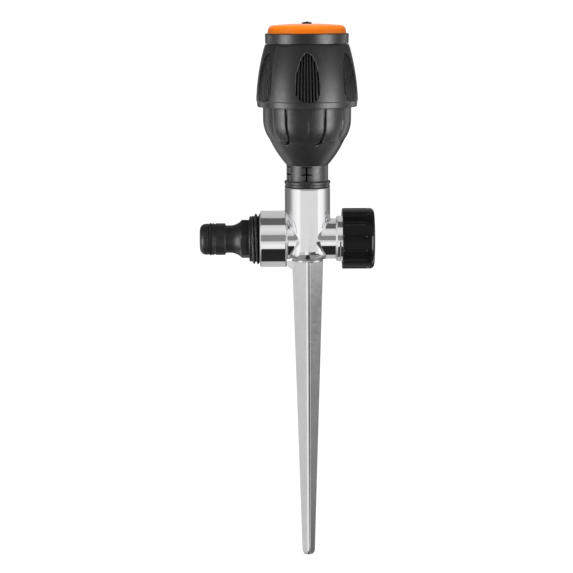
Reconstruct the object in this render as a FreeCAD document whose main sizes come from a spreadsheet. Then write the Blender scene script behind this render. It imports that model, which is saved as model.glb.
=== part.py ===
"""Turbine-driven rotating garden sprinkler on a die-cast flow-through base with a ground spike.

Frame: millimetres, +Z up. The origin is on the upright axis at the ground line, where the spike's
round flange meets the soil. The hose nipple points to -X and the end cap to +X.
"""
import FreeCAD, Part
import math
import os
import Sketcher

DIMENSIONS = {
    "cross_height": (13.9, "height of the horizontal barrel's axis"),
    "tube_radius": (12.12, "upright tube, outside"),
    "tube_top": (41.5, "top face of the upright tube"),
    "tube_foot": (3.0, "underside of the casting"),
    "tube_foot_round": (4.0, "rounding under the upright tube"),
    "tube_bore": (9.0, "water chamber"),
    "chamber_floor": (6.2, "floor of the water chamber"),
    "riser_bore": (10.3, "socket for the riser nipple"),
    "riser_bore_floor": (29.0, "bottom of that socket"),
    "barrel_radius": (10.83, "horizontal barrel, outside"),
    "barrel_bore": (7.5, "horizontal barrel, inside"),
    "socket_radius": (15.05, "left socket, outside"),
    "socket_mouth": (25.4, "left socket's open end, from the upright axis"),
    "socket_back": (11.1, "left socket's shoulder, from the upright axis"),
    "socket_bore": (13.64, "left socket, inside, clear of the thread crests"),
    "socket_floor": (13.0, "washer seat in the left socket"),
    "stub_collar_radius": (12.2, "collar beside the end cap"),
    "stub_collar_start": (15.2, "collar's inner face"),
    "stub_collar_end": (17.4, "collar's outer face"),
    "stub_end": (29.7, "end of the male stub"),
    "thread_root": (12.1, "hose thread, root radius"),
    "thread_crest": (13.48, "hose thread, crest radius"),
    "thread_pitch": (2.209, "hose thread, 11.5 turns to the inch"),
    "spike_reach": (8.32, "fin tip to axis at the top"),
    "spike_end_reach": (3.45, "fin tip to axis at the bottom"),
    "spike_length": (159.9, "fins below the flange, without the point"),
    "spike_point": (2.9, "blunt point below the fins"),
    "spike_flange_floor": (1.9, "underside of the round flange"),
    "spike_edge": (1.5, "width of a fin's outer edge"),
    "spike_end_edge": (1.1, "the same at the bottom"),
    "stud_radius": (2.95, "stud on the spike"),
    "stud_top": (12.4, "top of that stud"),
    "nut_flats": (10.0, "spike nut across flats"),
    "nut_height": (4.0, "spike nut"),
    "nut_seal_height": (0.8, "seal under the spike nut"),
    "adaptor_start": (15.2, "adaptor's washer face, from the upright axis"),
    "adaptor_bore": (5.2, "hose adaptor's waterway"),
    "nose_radius": (8.27, "nose of the nipple"),
    "land_radius": (8.48, "land behind the nose"),
    "snap_radius": (7.33, "snap groove"),
    "o_ring_groove": (7.1, "bottom of the O-ring groove"),
    "hex_flats": (19.0, "adaptor hexagon across flats"),
    "hex_corner": (10.9, "adaptor hexagon, corner radius after turning"),
    "cap_radius": (16.2, "end cap"),
    "cap_length": (17.3, "end cap"),
    "cap_start": (18.3, "open end of the end cap, from the upright axis"),
    "cap_cavity": (13.4, "depth of the end cap's cavity"),
    "cap_groove_count": (14, "grip grooves"),
    "cap_groove_radius": (1.0, "grip groove"),
    "flange_radius": (12.2, "riser nipple's lip"),
    "flange_top": (45.05, "top of the riser nipple's lip"),
    "seal_top": (42.1, "top of the black seal ring"),
    "spigot_radius": (8.2, "riser nipple's spigot"),
    "spigot_top": (57.0, "top of the spigot"),
    "riser_waterway": (5.4, "riser nipple's bore"),
    "neck_radius": (11.07, "snap neck"),
    "neck_top": (53.6, "where the neck enters the bowl"),
    "bowl_radius": (23.3, "widest part of the bowl"),
    "bowl_rim": (96.5, "top of the bowl, inside the barrel"),
    "bowl_cylinder": (77.5, "lower end of the bowl's straight part"),
    "bowl_wall": (2.7, "bowl"),
    "rib_count": (7, "ribs down the bowl"),
    "rib_groove_angle": (5.0, "width in degrees of the groove beside a rib"),
    "rib_groove_depth": (1.4, "groove beside a rib"),
    "skirt_floor": (84.15, "lower edge of the barrel"),
    "band_top": (87.5, "top of the barrel's lower band"),
    "band_radius": (26.5, "lower band"),
    "barrel_max_radius": (26.8, "widest part of the barrel"),
    "barrel_top": (116.6, "top of the barrel"),
    "barrel_top_radius": (21.9, "barrel under the collar"),
    "core_radius": (20.3, "inner housing"),
    "core_inside": (18.3, "inner housing, inside"),
    "core_top": (116.9, "top of the inner housing"),
    "deck_floor": (112.0, "underside of the inner housing's deck"),
    "deck_top": (115.0, "top of that deck"),
    "collar_radius": (22.0, "ring above the barrel"),
    "collar_top": (122.2, "top of that ring"),
    "turret_radius": (20.65, "orange cap"),
    "dome_edge": (126.6, "orange cap, top at the edge"),
    "dome_top": (127.2, "orange cap, top at the centre"),
    "crown_top": (128.1, "tips of the jets"),
    "shaft_radius": (6.0, "turret shaft"),
    "shaft_bore": (4.2, "turret shaft's waterway"),
    "shaft_top": (124.3, "top of the turret shaft"),
    "gear_module": (0.5, "all gears"),
    "wheel_teeth": (24, "large gears"),
    "pinion_teeth": (8, "small gears"),
    "gear_face": (2.2, "width of a large gear"),
    "gear_step": (2.9, "from one gear level to the next"),
    "first_gear": (79.0, "underside of the first large gear"),
    "pin_radius": (1.0, "turbine shaft and arbor pin"),
    "case_radius": (16.2, "gearbox case"),
    "case_inside": (14.95, "gearbox case, inside"),
    "case_floor": (75.8, "underside of the gearbox case"),
    "lid_floor": (92.0, "underside of the gearbox lid"),
    "lid_top": (94.6, "top of the gearbox lid"),
    "turbine_floor": (69.4, "underside of the turbine"),
    "turbine_height": (5.4, "turbine"),
    "turbine_radius": (13.0, "turbine"),
    "blade_count": (10, "turbine blades"),
    "port_floor": (98.7, "underside of the port plate"),
    "port_top": (101.2, "top of the port plate"),
    "throttle_floor": (101.5, "underside of the throttle ring"),
    "throttle_top": (103.7, "top of the throttle ring"),
    "port_inner": (16.4, "inner edge of the water ports"),
    "port_angle": (60.0, "width of a water port in degrees"),
    "running_gap": (0.05, "radial clearance of a shaft in its bush"),
    "free_gap": (0.3, "gap between faces that pass each other"),
}

SHEET = "Dimensions"
Z_AXIS = FreeCAD.Vector(0, 0, 1)
TO_LEFT = FreeCAD.Rotation(FreeCAD.Vector(0, 1, 0), -90)
TO_RIGHT = FreeCAD.Rotation(FreeCAD.Vector(0, 1, 0), 90)

doc = FreeCAD.newDocument("sprinkler")
subparts = []


class Size:
    """A number together with the spreadsheet expression that gives it."""

    def __init__(self, value, text):
        self.value = value
        self.text = text

    def __add__(self, other):
        return Size(self.value + number(other), f"({self.text} + {words(other)})")

    def __sub__(self, other):
        return Size(self.value - number(other), f"({self.text} - {words(other)})")

    def __mul__(self, other):
        return Size(self.value * number(other), f"({self.text} * {words(other)})")

    def __truediv__(self, other):
        return Size(self.value / number(other), f"({self.text} / {words(other)})")


def number(size):
    return size.value if isinstance(size, Size) else size


def words(size):
    return size.text if isinstance(size, Size) else repr(size)


ZERO = Size(0, "0")


class Sizes:
    """The spreadsheet's cells as attributes."""

    def __init__(self, sheet):
        self.sheet = sheet

    def __getattr__(self, alias):
        return Size(float(self.sheet.get(alias)), f"{SHEET}.{alias}")


def make_sheet():
    sheet = doc.addObject("Spreadsheet::Sheet", SHEET)
    for row, (alias, (value, meaning)) in enumerate(DIMENSIONS.items(), 1):
        sheet.set(f"A{row}", meaning)
        sheet.set(f"B{row}", str(value))
        sheet.setAlias(f"B{row}", alias)
    doc.recompute()
    return Sizes(sheet)


d = make_sheet()


# ---------------------------------------------------------------- helpers

def bind(obj, prop, size):
    """Set a property, and tie it to the sheet where the size comes from there."""
    if isinstance(size, Size):
        obj.setExpression(prop, size.text)
    else:
        setattr(obj, prop, size)


def vector(point):
    return FreeCAD.Vector(number(point[0]), number(point[1]), 0)


def new_body(label, base=(0, 0, 0), rotation=None):
    body = doc.addObject("PartDesign::Body", label)
    body.Label = label
    body.Placement = FreeCAD.Placement(
        FreeCAD.Vector(*[number(part) for part in base]), rotation or FreeCAD.Rotation()
    )
    for axis, part in zip("xyz", base):
        if isinstance(part, Size):
            body.setExpression(f"Placement.Base.{axis}", part.text)
    subparts.append(body)
    return body


def keep(label, obj):
    """Name a finished object that isn't a body as a sub-part."""
    obj.Label = label
    subparts.append(obj)
    return obj


def new_sketch(body, name, role="XZ_Plane", offset=None):
    sketch = body.newObject("Sketcher::SketchObject", name)
    plane = next(f for f in body.Origin.OriginFeatures if f.Role == role)
    sketch.AttachmentSupport = [(plane, "")]
    sketch.MapMode = "FlatFace"
    if offset is not None:
        sketch.AttachmentOffset = offset
    return sketch


class Via:
    """A point that the arc between its two neighbours in an outline passes through."""

    def __init__(self, across, up):
        self.point = (across, up)


def pin_point(sketch, line, end, point):
    """Fix one end of a line by its distances from the sketch's origin."""
    for kind, axis, size in (("DistanceX", -2, point[0]), ("DistanceY", -1, point[1])):
        if number(size) == 0:
            sketch.addConstraint(Sketcher.Constraint("PointOnObject", line, end, axis))
            continue
        index = sketch.addConstraint(Sketcher.Constraint(kind, -1, 1, line, end, number(size)))
        if isinstance(size, Size):
            sketch.setExpression(f"Constraints[{index}]", size.text)


def draw_outline(sketch, outline):
    """A closed outline of lines, and of arcs where a Via stands between two corners."""
    corners = [item for item in outline if not isinstance(item, Via)]
    ends = []
    for index, corner in enumerate(corners):
        following = corners[(index + 1) % len(corners)]
        place = outline.index(corner)
        nearby = outline[(place + 1) % len(outline)]
        start, stop = vector(corner), vector(following)
        if isinstance(nearby, Via):
            edge = Part.ArcOfCircle(start, vector(nearby.point), stop)
        else:
            edge = Part.LineSegment(start, stop)
        line = sketch.addGeometry(edge, False)
        first = 1 if sketch.getPoint(line, 1).distanceToPoint(start) < 1e-6 else 2
        ends.append((line, first, 3 - first))
        if isinstance(nearby, Via):
            sketch.addConstraint(Sketcher.Constraint("Radius", line, edge.Radius))
    for index, (line, first, _) in enumerate(ends):
        previous, _, last = ends[index - 1]
        sketch.addConstraint(Sketcher.Constraint("Coincident", previous, last, line, first))
        pin_point(sketch, line, first, corners[index])


def turn(body, name, outline, axis="V_Axis", cut=False, angle=360.0, offset=None):
    """Revolve an outline on the XZ plane about one of its own axes."""
    sketch = new_sketch(body, f"{name}_outline", offset=offset)
    draw_outline(sketch, outline)
    kind = "PartDesign::Groove" if cut else "PartDesign::Revolution"
    feature = body.newObject(kind, name)
    feature.Profile = sketch
    feature.ReferenceAxis = (sketch, [axis])
    bind(feature, "Angle", angle)
    return feature


def turned_body(label, outline, base=(0, 0, 0), rotation=None):
    body = new_body(label, base, rotation)
    turn(body, f"{label}_turned", outline)
    return body


def about_z(angle):
    """Turn the XZ sketch plane about the upright axis."""
    return FreeCAD.Placement(FreeCAD.Vector(), FreeCAD.Rotation(FreeCAD.Vector(0, 1, 0), angle))


def pocket(body, name, sketch, depth, reverse=False):
    feature = body.newObject("PartDesign::Pocket", name)
    feature.Profile = sketch
    bind(feature, "Length", depth)
    feature.Reversed = reverse
    return feature


def pad(body, name, sketch, height, reverse=False):
    feature = body.newObject("PartDesign::Pad", name)
    feature.Profile = sketch
    bind(feature, "Length", height)
    feature.Reversed = reverse
    return feature


def repeat_round(body, name, features, count):
    """Repeat features round the body's own Z axis."""
    pattern = body.newObject("PartDesign::PolarPattern", name)
    pattern.Originals = features
    axis = next(f for f in body.Origin.OriginFeatures if f.Role == "Z_Axis")
    pattern.Axis = (axis, [""])
    pattern.Angle = 360
    bind(pattern, "Occurrences", count)
    body.Tip = pattern
    return pattern


def draw_circle(sketch, radius, centre=(0, 0)):
    line = sketch.addGeometry(Part.Circle(vector(centre), Z_AXIS, number(radius)), False)
    index = sketch.addConstraint(Sketcher.Constraint("Radius", line, number(radius)))
    if isinstance(radius, Size):
        sketch.setExpression(f"Constraints[{index}]", radius.text)
    pin_point(sketch, line, 3, centre)


def ring(label, inner, outer, floor, top):
    """A plain ring about the upright axis."""
    return turned_body(label, [(inner, floor), (outer, floor), (outer, top), (inner, top)])


def o_ring(label, middle, thickness, heights, base=(0, 0, 0), rotation=None):
    """One or more O-rings on one axis, joined in one compound."""
    place = FreeCAD.Placement(
        FreeCAD.Vector(*[number(part) for part in base]), rotation or FreeCAD.Rotation()
    )
    rings = []
    for index, height in enumerate(heights):
        torus = doc.addObject("Part::Torus", f"{label}_{index + 1}")
        bind(torus, "Radius1", middle)
        bind(torus, "Radius2", thickness)
        lift = FreeCAD.Placement(FreeCAD.Vector(0, 0, number(height)), FreeCAD.Rotation())
        torus.Placement = place.multiply(lift)
        rings.append(torus)
    if len(rings) == 1:
        return keep(label, rings[0])
    group = doc.addObject("Part::Compound", label)
    group.Links = rings
    return keep(label, group)


def add_thread(body, name, start, length, axis="V_Axis"):
    """A right-hand helical ridge on the root cylinder, along one of the XZ sketch's axes."""
    root_half = 0.95
    crest_half = 0.3
    sunk = d.thread_root - 0.15
    profile = [
        (sunk, start),
        (d.thread_crest, start + (root_half - crest_half)),
        (d.thread_crest, start + (root_half + crest_half)),
        (sunk, start + 2 * root_half),
    ]
    if axis == "H_Axis":
        profile = [(along, out) for out, along in profile]
    sketch = new_sketch(body, f"{name}_profile")
    draw_outline(sketch, profile)
    helix = body.newObject("PartDesign::AdditiveHelix", name)
    helix.Profile = sketch
    helix.ReferenceAxis = (sketch, [axis])
    helix.Mode = "pitch-height-angle"
    bind(helix, "Pitch", d.thread_pitch)
    helix.Height = length
    return helix


# ---------------------------------------------------------------- base and spike

def make_casting():
    """Upright tube crossing a horizontal barrel; its own origin is where the two axes cross."""
    body = new_body("base_casting", (0, 0, d.cross_height))
    centre = d.cross_height
    foot_flat = d.tube_radius - d.tube_foot_round
    bend = number(d.tube_foot_round) * (1 - math.sqrt(0.5))
    mouth_edge = 0.4
    socket_edge = 0.5
    stub_chamfer = 0.8
    turn(body, "upright_tube", [
        (0, d.tube_foot - centre),
        (foot_flat, d.tube_foot - centre),
        Via(d.tube_radius - bend, d.tube_foot - centre + bend),
        (d.tube_radius, d.tube_foot + d.tube_foot_round - centre),
        (d.tube_radius, d.tube_top - centre - mouth_edge),
        (d.tube_radius - mouth_edge, d.tube_top - centre),
        (0, d.tube_top - centre),
    ])
    left_end = ZERO - d.socket_mouth
    left_back = ZERO - d.socket_back
    socket_floor = ZERO - d.socket_floor
    turn(body, "cross_barrel", [
        (left_end, 0),
        (left_end, d.socket_radius - socket_edge),
        (left_end + socket_edge, d.socket_radius),
        (left_back - socket_edge, d.socket_radius),
        (left_back, d.socket_radius - socket_edge),
        (left_back, d.barrel_radius),
        (d.stub_collar_start, d.barrel_radius),
        (d.stub_collar_start + 0.7, d.stub_collar_radius),
        (d.stub_collar_end, d.stub_collar_radius),
        (d.stub_collar_end, d.thread_root),
        (d.stub_end - stub_chamfer, d.thread_root),
        (d.stub_end, d.thread_root - stub_chamfer),
        (d.stub_end, 0),
    ], axis="H_Axis")
    turn(body, "water_chamber", [
        (0, d.chamber_floor - centre),
        (d.tube_bore, d.chamber_floor - centre),
        (d.tube_bore, d.riser_bore_floor - centre),
        (d.riser_bore, d.riser_bore_floor - centre),
        (d.riser_bore, d.tube_top - centre + 1),
        (0, d.tube_top - centre + 1),
    ], cut=True)
    turn(body, "cross_bore", [
        (left_end - 1, 0),
        (left_end - 1, d.socket_bore),
        (socket_floor, d.socket_bore),
        (socket_floor, d.barrel_bore),
        (d.stub_end + 1, d.barrel_bore),
        (d.stub_end + 1, 0),
    ], axis="H_Axis", cut=True)
    turn(body, "stud_hole", [
        (0, d.tube_foot - centre - 1),
        (d.stud_radius + 0.1, d.tube_foot - centre - 1),
        (d.stud_radius + 0.1, d.chamber_floor - centre + 1),
        (0, d.chamber_floor - centre + 1),
    ], cut=True)
    add_thread(body, "stub_thread", d.stub_collar_end + 0.9, 8.8, axis="H_Axis")
    return body


def cross_section(reach, edge, root):
    """Corners of a four-finned cross whose fins taper from root to edge, going round once."""
    corners = []
    directions = [(1, 0), (0, 1), (-1, 0), (0, -1)]
    for index, (along_x, along_y) in enumerate(directions):
        next_x, next_y = directions[(index + 1) % 4]
        corners.append((reach * along_x - edge * next_x, reach * along_y - edge * next_y))
        corners.append((reach * along_x + edge * next_x, reach * along_y + edge * next_y))
        corners.append((root * (along_x + next_x), root * (along_y + next_y)))
    return corners


def cross_wire(height, reach, edge, root):
    points = [FreeCAD.Vector(x, y, height) for x, y in cross_section(reach, edge, root)]
    return Part.makePolygon(points + points[:1])


def make_spike():
    """Four tapered fins under a round flange, with a stud on top and an ear by the left socket."""
    floor = number(d.spike_flange_floor)
    bottom = floor - number(d.spike_length)
    root = 1.45
    end_root = 0.95
    fins = Part.makeLoft([
        cross_wire(floor, number(d.spike_reach), number(d.spike_edge) / 2, root),
        cross_wire(bottom, number(d.spike_end_reach), number(d.spike_end_edge) / 2, end_root),
    ], True, True)
    tip_reach = number(d.spike_end_reach) * 0.45
    point = Part.makeLoft([
        cross_wire(bottom, number(d.spike_end_reach), number(d.spike_end_edge) / 2, end_root),
        cross_wire(bottom - number(d.spike_point), tip_reach, 0.4, 0.6),
    ], True, True)
    flange = Part.makeCylinder(
        number(d.spike_reach) - 0.02, number(d.tube_foot) - floor, FreeCAD.Vector(0, 0, floor)
    )
    stud = Part.makeCylinder(
        number(d.stud_radius), number(d.stud_top) - floor, FreeCAD.Vector(0, 0, floor)
    )
    ear_points = [
        FreeCAD.Vector(-7.0, 0, floor),
        FreeCAD.Vector(-10.9, 0, floor),
        FreeCAD.Vector(-10.9, 0, -0.8),
        FreeCAD.Vector(-7.0, 0, -3.6),
    ]
    ear_face = Part.Face(Part.makePolygon(ear_points + ear_points[:1]))
    ear_width = 1.4
    ear = ear_face.extrude(FreeCAD.Vector(0, ear_width, 0))
    ear.translate(FreeCAD.Vector(0, -ear_width / 2, 0))
    shape = fins.fuse([point, flange, stud, ear]).removeSplitter()
    spike = doc.addObject("Part::Feature", "ground_spike")
    spike.Shape = shape
    return keep("ground_spike", spike)


def make_spike_nut():
    body = new_body("spike_nut", (0, 0, d.chamber_floor + d.nut_seal_height))
    sketch = new_sketch(body, "nut_hexagon", "XY_Plane")
    draw_hexagon(sketch, d.nut_flats)
    draw_circle(sketch, d.stud_radius + 0.02)
    pad(body, "nut_body", sketch, d.nut_height)
    ring(
        "spike_nut_seal", d.stud_radius + 0.05, 6.0,
        d.chamber_floor, d.chamber_floor + d.nut_seal_height,
    )


def draw_hexagon(sketch, flats):
    corner = flats / math.sqrt(3)
    outline = []
    for index in range(6):
        angle = math.radians(60 * index)
        across = corner * math.cos(angle)
        up = corner * math.sin(angle)
        outline.append((across, up if abs(number(up)) > 1e-6 else 0))
    draw_outline(sketch, outline)


# ---------------------------------------------------------------- hose adaptor

def make_adaptor():
    """Modelled along its own axis from the washer face, which then points to -X."""
    body = new_body("hose_adaptor", (ZERO - d.adaptor_start, 0, d.cross_height), TO_LEFT)
    hex_start = 15.8
    hex_end = 20.6
    groove_start = 27.6
    land_start = 28.8
    land_end = 35.6
    seat_end = 37.4
    nose_end = 42.1
    turn(body, "adaptor_turned", [
        (d.adaptor_bore, 0),
        (d.thread_root - 0.6, 0),
        (d.thread_root, 0.6),
        (d.thread_root, hex_start - 0.5),
        (d.thread_root - 0.2, hex_start),
        (9.5, hex_start),
        (9.5, hex_end - 0.4),
        Via(8.1, 22.6),
        (d.snap_radius, groove_start - 2.2),
        (d.snap_radius, groove_start + 0.7),
        (d.land_radius, land_start),
        (d.land_radius, land_end - 1.9),
        (d.land_radius - 0.3, land_end - 1.7),
        (d.land_radius - 0.3, land_end - 1.2),
        (d.land_radius, land_end - 1.0),
        (d.land_radius, land_end),
        (d.o_ring_groove, land_end),
        (d.o_ring_groove, seat_end),
        (d.nose_radius, seat_end),
        (d.nose_radius, nose_end - 3.2),
        Via(d.nose_radius - 0.85, nose_end - 0.95),
        (d.nose_radius - 2.4, nose_end),
        (d.adaptor_bore, nose_end),
    ])
    hexagon = new_sketch(
        body, "hexagon", "XY_Plane",
        FreeCAD.Placement(FreeCAD.Vector(0, 0, hex_start), FreeCAD.Rotation(Z_AXIS, -13)),
    )
    draw_hexagon(hexagon, d.hex_flats)
    draw_circle(hexagon, 9.0)
    pad(body, "hexagon_block", hexagon, hex_end - hex_start)
    turn(body, "hexagon_turned_corners", [
        (d.hex_corner, hex_start - 1),
        (d.hex_corner + 2, hex_start - 1),
        (d.hex_corner + 2, hex_end + 1),
        (9.3, hex_end + 1),
        (9.3, hex_end + 0.02),
        (d.hex_corner, hex_end - 0.9),
    ], cut=True)
    add_thread(body, "adaptor_thread", 0.3, 12.7)
    return body


def make_adaptor_seals():
    left = (ZERO - d.adaptor_start, 0, d.cross_height)
    o_ring("adaptor_o_ring", d.o_ring_groove + 0.78, 0.76, [36.5], left, TO_LEFT)
    turned_body("adaptor_washer", [
        (8.5, 0), (d.thread_crest - 0.1, 0), (d.thread_crest - 0.1, 2.2), (8.5, 2.2),
    ], left, TO_RIGHT)
    make_inlet_screen()


def make_inlet_screen():
    """A thin ring with crossed bars, standing on the shoulder of the left socket."""
    rim = 8.2
    opening = 6.9
    thickness = 0.8
    bar = 0.45
    bars = []
    for index in range(-3, 4):
        offset = index * 1.9
        half = math.sqrt(opening ** 2 - offset ** 2) + 0.3
        for across in (True, False):
            size = (2 * half, bar) if across else (bar, 2 * half)
            corner = (-half, offset - bar / 2) if across else (offset - bar / 2, -half)
            bars.append(Part.makeBox(*size, thickness, FreeCAD.Vector(*corner, 0)))
    shape = Part.makeCylinder(rim, thickness).cut(Part.makeCylinder(opening, thickness))
    shape = shape.fuse(bars).removeSplitter()
    screen = doc.addObject("Part::Feature", "inlet_screen")
    screen.Shape = shape
    start = -number(d.socket_floor) - thickness
    screen.Placement = FreeCAD.Placement(
        FreeCAD.Vector(start, 0, number(d.cross_height)), TO_RIGHT
    )
    return keep("inlet_screen", screen)


# ---------------------------------------------------------------- end cap

def make_end_cap():
    """Modelled along its own axis from its open end, which then faces the casting."""
    right = (d.cap_start, 0, d.cross_height)
    body = new_body("end_cap", right, TO_RIGHT)
    bore = d.thread_crest + 0.14
    turn(body, "cap_turned", [
        (bore, 0),
        (d.cap_radius - 0.5, 0),
        (d.cap_radius, 0.5),
        (d.cap_radius, d.cap_length - 2.7),
        Via(d.cap_radius - 0.79, d.cap_length - 0.79),
        (d.cap_radius - 2.7, d.cap_length - 0.2),
        (d.cap_radius - 3.3, d.cap_length - 0.6),
        (0, d.cap_length),
        (0, d.cap_cavity),
        (bore, d.cap_cavity),
    ])
    sketch = new_sketch(body, "groove_circle", "XY_Plane", FreeCAD.Placement(
        FreeCAD.Vector(), FreeCAD.Rotation(Z_AXIS, -90 - 10.6)
    ))
    draw_circle(sketch, d.cap_groove_radius, (d.cap_radius + 0.35, 0))
    groove = pocket(body, "grip_groove", sketch, d.cap_length - 3.3, reverse=True)
    repeat_round(body, "grip_grooves", [groove], d.cap_groove_count)
    washer_start = d.stub_end + 0.1
    turned_body("cap_washer", [
        (8.4, 0),
        (12.9, 0),
        (12.9, d.cap_start + d.cap_cavity - washer_start),
        (8.4, d.cap_start + d.cap_cavity - washer_start),
    ], (washer_start, 0, d.cross_height), TO_RIGHT)


# ---------------------------------------------------------------- riser and neck

def make_riser():
    snap_low = 47.6
    snap_high = 49.6
    seat_low = 52.0
    seat_high = 53.8
    turned_body("riser_nipple", [
        (d.riser_waterway, 31.0),
        (d.riser_bore - 0.1, 31.0),
        (d.riser_bore - 0.1, d.seal_top),
        (11.8, d.seal_top),
        (11.8, 43.3),
        (d.flange_radius - 0.15, 43.55),
        (d.flange_radius, 43.9),
        (d.flange_radius, d.flange_top - 0.4),
        (d.flange_radius - 0.3, d.flange_top),
        (d.spigot_radius, d.flange_top),
        (d.spigot_radius, snap_low),
        (7.35, snap_low),
        (7.35, snap_high),
        (d.spigot_radius, snap_high),
        (d.spigot_radius, seat_low),
        (6.7, seat_low),
        (6.7, seat_high),
        (d.spigot_radius, seat_high),
        (d.spigot_radius, d.spigot_top),
        (d.riser_waterway, d.spigot_top),
    ])
    ring("riser_seal", d.riser_bore, 12.0, d.tube_top, d.seal_top)
    o_ring("neck_o_ring", 7.5, 0.77, [52.9])


def make_neck():
    """Snap neck: an outer sleeve with two opposite tongues between T-shaped slots."""
    body = new_body("neck_collar")
    inside = d.spigot_radius + 0.1
    bead_low = 48.1
    bead_high = 49.1
    stem = 9.9
    turn(body, "neck_turned", [
        (inside, d.flange_top + 0.15),
        (d.neck_radius, d.flange_top + 0.15),
        (d.neck_radius, d.neck_top - 0.1),
        (stem, d.neck_top - 0.1),
        (stem, 61.0),
        (d.riser_waterway, 61.0),
        (d.riser_waterway, d.spigot_top + 0.3),
        (inside, d.spigot_top + 0.3),
        (inside, bead_high),
        (7.6, bead_high),
        (7.6, bead_low),
        (inside, bead_low - 0.3),
    ])
    slots = []
    for index, angle in enumerate((-3.0, -66.0)):
        sketch = new_sketch(body, f"slot_{index + 1}", offset=about_z(angle))
        half = 0.5
        low = 44.0
        top_bar = 52.4
        top_end = 52.95
        middle_low = 48.2
        middle_high = 49.4
        draw_outline(sketch, [
            (-half, low),
            (half, low),
            (half, middle_low),
            (3.15, 48.7),
            (3.15, 48.9),
            (half, middle_high),
            (half, top_bar),
            (2.6, top_bar),
            (2.6, top_end),
            (-2.6, top_end),
            (-2.6, top_bar),
            (-half, top_bar),
            (-half, middle_high),
            (-3.15, 48.9),
            (-3.15, 48.7),
            (-half, middle_low),
        ])
        slots.append(pocket(body, f"tongue_slot_{index + 1}", sketch, 15.0, reverse=True))
    repeat_round(body, "tongue_slots", slots, 2)
    return body


# ---------------------------------------------------------------- head housings

def make_bowl():
    """Bowl: straight above, two arcs down to the neck, seven ribs with a groove down both sides."""
    body = new_body("lower_bowl")
    inside = d.bowl_radius - d.bowl_wall
    turn(body, "bowl_turned", [
        (9.95, d.neck_top),
        (11.15, d.neck_top),
        Via(16.05, 60.1),
        (19.7, 66.8),
        Via(22.45, 72.2),
        (d.bowl_radius, d.bowl_cylinder),
        (d.bowl_radius, d.bowl_rim),
        (inside, d.bowl_rim),
        (inside, 76.5),
        (17.0, 69.0),
        (17.0, 66.0),
        (15.2, 66.0),
        (9.95, 57.6),
    ])
    depth = d.rib_groove_depth
    outline = [
        (d.bowl_radius + 2, 84.9),
        (d.bowl_radius - depth, 84.9),
        (d.bowl_radius - depth, d.bowl_cylinder),
        Via(20.95, 72.2),
        (17.9, 63.4),
        (20.0, 63.4),
        (d.bowl_radius + 2, 72.0),
    ]
    left_start, right_start = -2.9, 21.9
    grooves = [
        turn(body, name, outline, cut=True, angle=d.rib_groove_angle, offset=about_z(start - 90))
        for name, start in (("left_groove", left_start), ("right_groove", right_start))
    ]
    repeat_round(body, "rib_grooves", grooves, d.rib_count)
    return body


def make_sleeve():
    """Barrel with a lower band, six oval ribbed grips and a bearing bore on the inner housing."""
    body = new_body("barrel_sleeve")
    bore = d.core_radius + d.free_gap
    turn(body, "sleeve_turned", [
        (bore, 97.0),
        (d.bowl_radius + 0.6, 97.0),
        (d.bowl_radius + 1.1, d.skirt_floor),
        (d.band_radius - 0.3, d.skirt_floor),
        (d.band_radius, d.band_top - 0.3),
        (d.barrel_max_radius, d.band_top),
        Via(25.9, 98.5),
        (d.barrel_top_radius + 0.5, 115.4),
        (d.barrel_top_radius, d.barrel_top),
        (bore, d.barrel_top),
    ])
    lean = math.degrees(math.atan2(2.95, 26.0))
    tilt = FreeCAD.Placement(
        FreeCAD.Vector(0, 85.0, 25.9), FreeCAD.Rotation(FreeCAD.Vector(1, 0, 0), -lean)
    )
    pitch = 1.78
    sketch = new_sketch(body, "grip_slots", offset=tilt)
    for index in range(8):
        across = (index - 3.5) * pitch
        share = 1 - (abs(across) / 7.2) ** 2
        top = 27.4 - 18.0 * (1 - math.sqrt(1 - (across / 7.0) ** 2))
        low = 6.0 - 4.6 * math.sqrt(max(share, 0.0))
        half = 0.42
        draw_outline(sketch, [
            (across - half, low),
            (across + half, low),
            (across + half, top - half),
            (across, top),
            (across - half, top - half),
        ])
    grip = pocket(body, "grip", sketch, 4.0, reverse=True)
    repeat_round(body, "grips", [grip], 6)
    return body


def make_core():
    """Inner housing with a deck above, which carries the turret shaft."""
    body = new_body("head_core")
    turn(body, "core_turned", [
        (d.core_inside, 86.0),
        (d.bowl_radius - d.bowl_wall - 0.1, 86.0),
        (d.bowl_radius - d.bowl_wall - 0.1, 89.2),
        (19.3, 89.2),
        (19.3, 90.8),
        (d.bowl_radius - d.bowl_wall - 0.1, 90.8),
        (d.bowl_radius - d.bowl_wall - 0.1, 96.5),
        (d.core_radius, 96.7),
        (d.core_radius, 97.85),
        (19.1, 97.85),
        (19.1, 99.35),
        (d.core_radius, 99.35),
        (d.core_radius, 106.0),
        (19.1, 106.0),
        (19.1, 107.5),
        (d.core_radius, 107.5),
        (d.core_radius, d.core_top),
        (d.core_inside, d.core_top),
        (d.core_inside, d.deck_top),
        (7.7, d.deck_top),
        (7.7, 113.4),
        (d.shaft_radius + d.running_gap, 113.4),
        (d.shaft_radius + d.running_gap, d.deck_floor),
        (d.core_inside, d.deck_floor),
    ])
    turn(body, "key_slot", [
        (d.core_inside - 1, 101.2),
        (d.core_radius + 1, 101.2),
        (d.core_radius + 1, 104.0),
        (d.core_inside - 1, 104.0),
    ], cut=True, angle=78.0, offset=about_z(171.0))
    o_ring("core_seal", 19.95, 0.62, [90.0])
    o_ring("sleeve_seals", 19.83, 0.7, [98.6, 106.75])
    ring("shaft_seal", d.shaft_radius + d.running_gap, 7.65, 113.45, 114.95)


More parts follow.
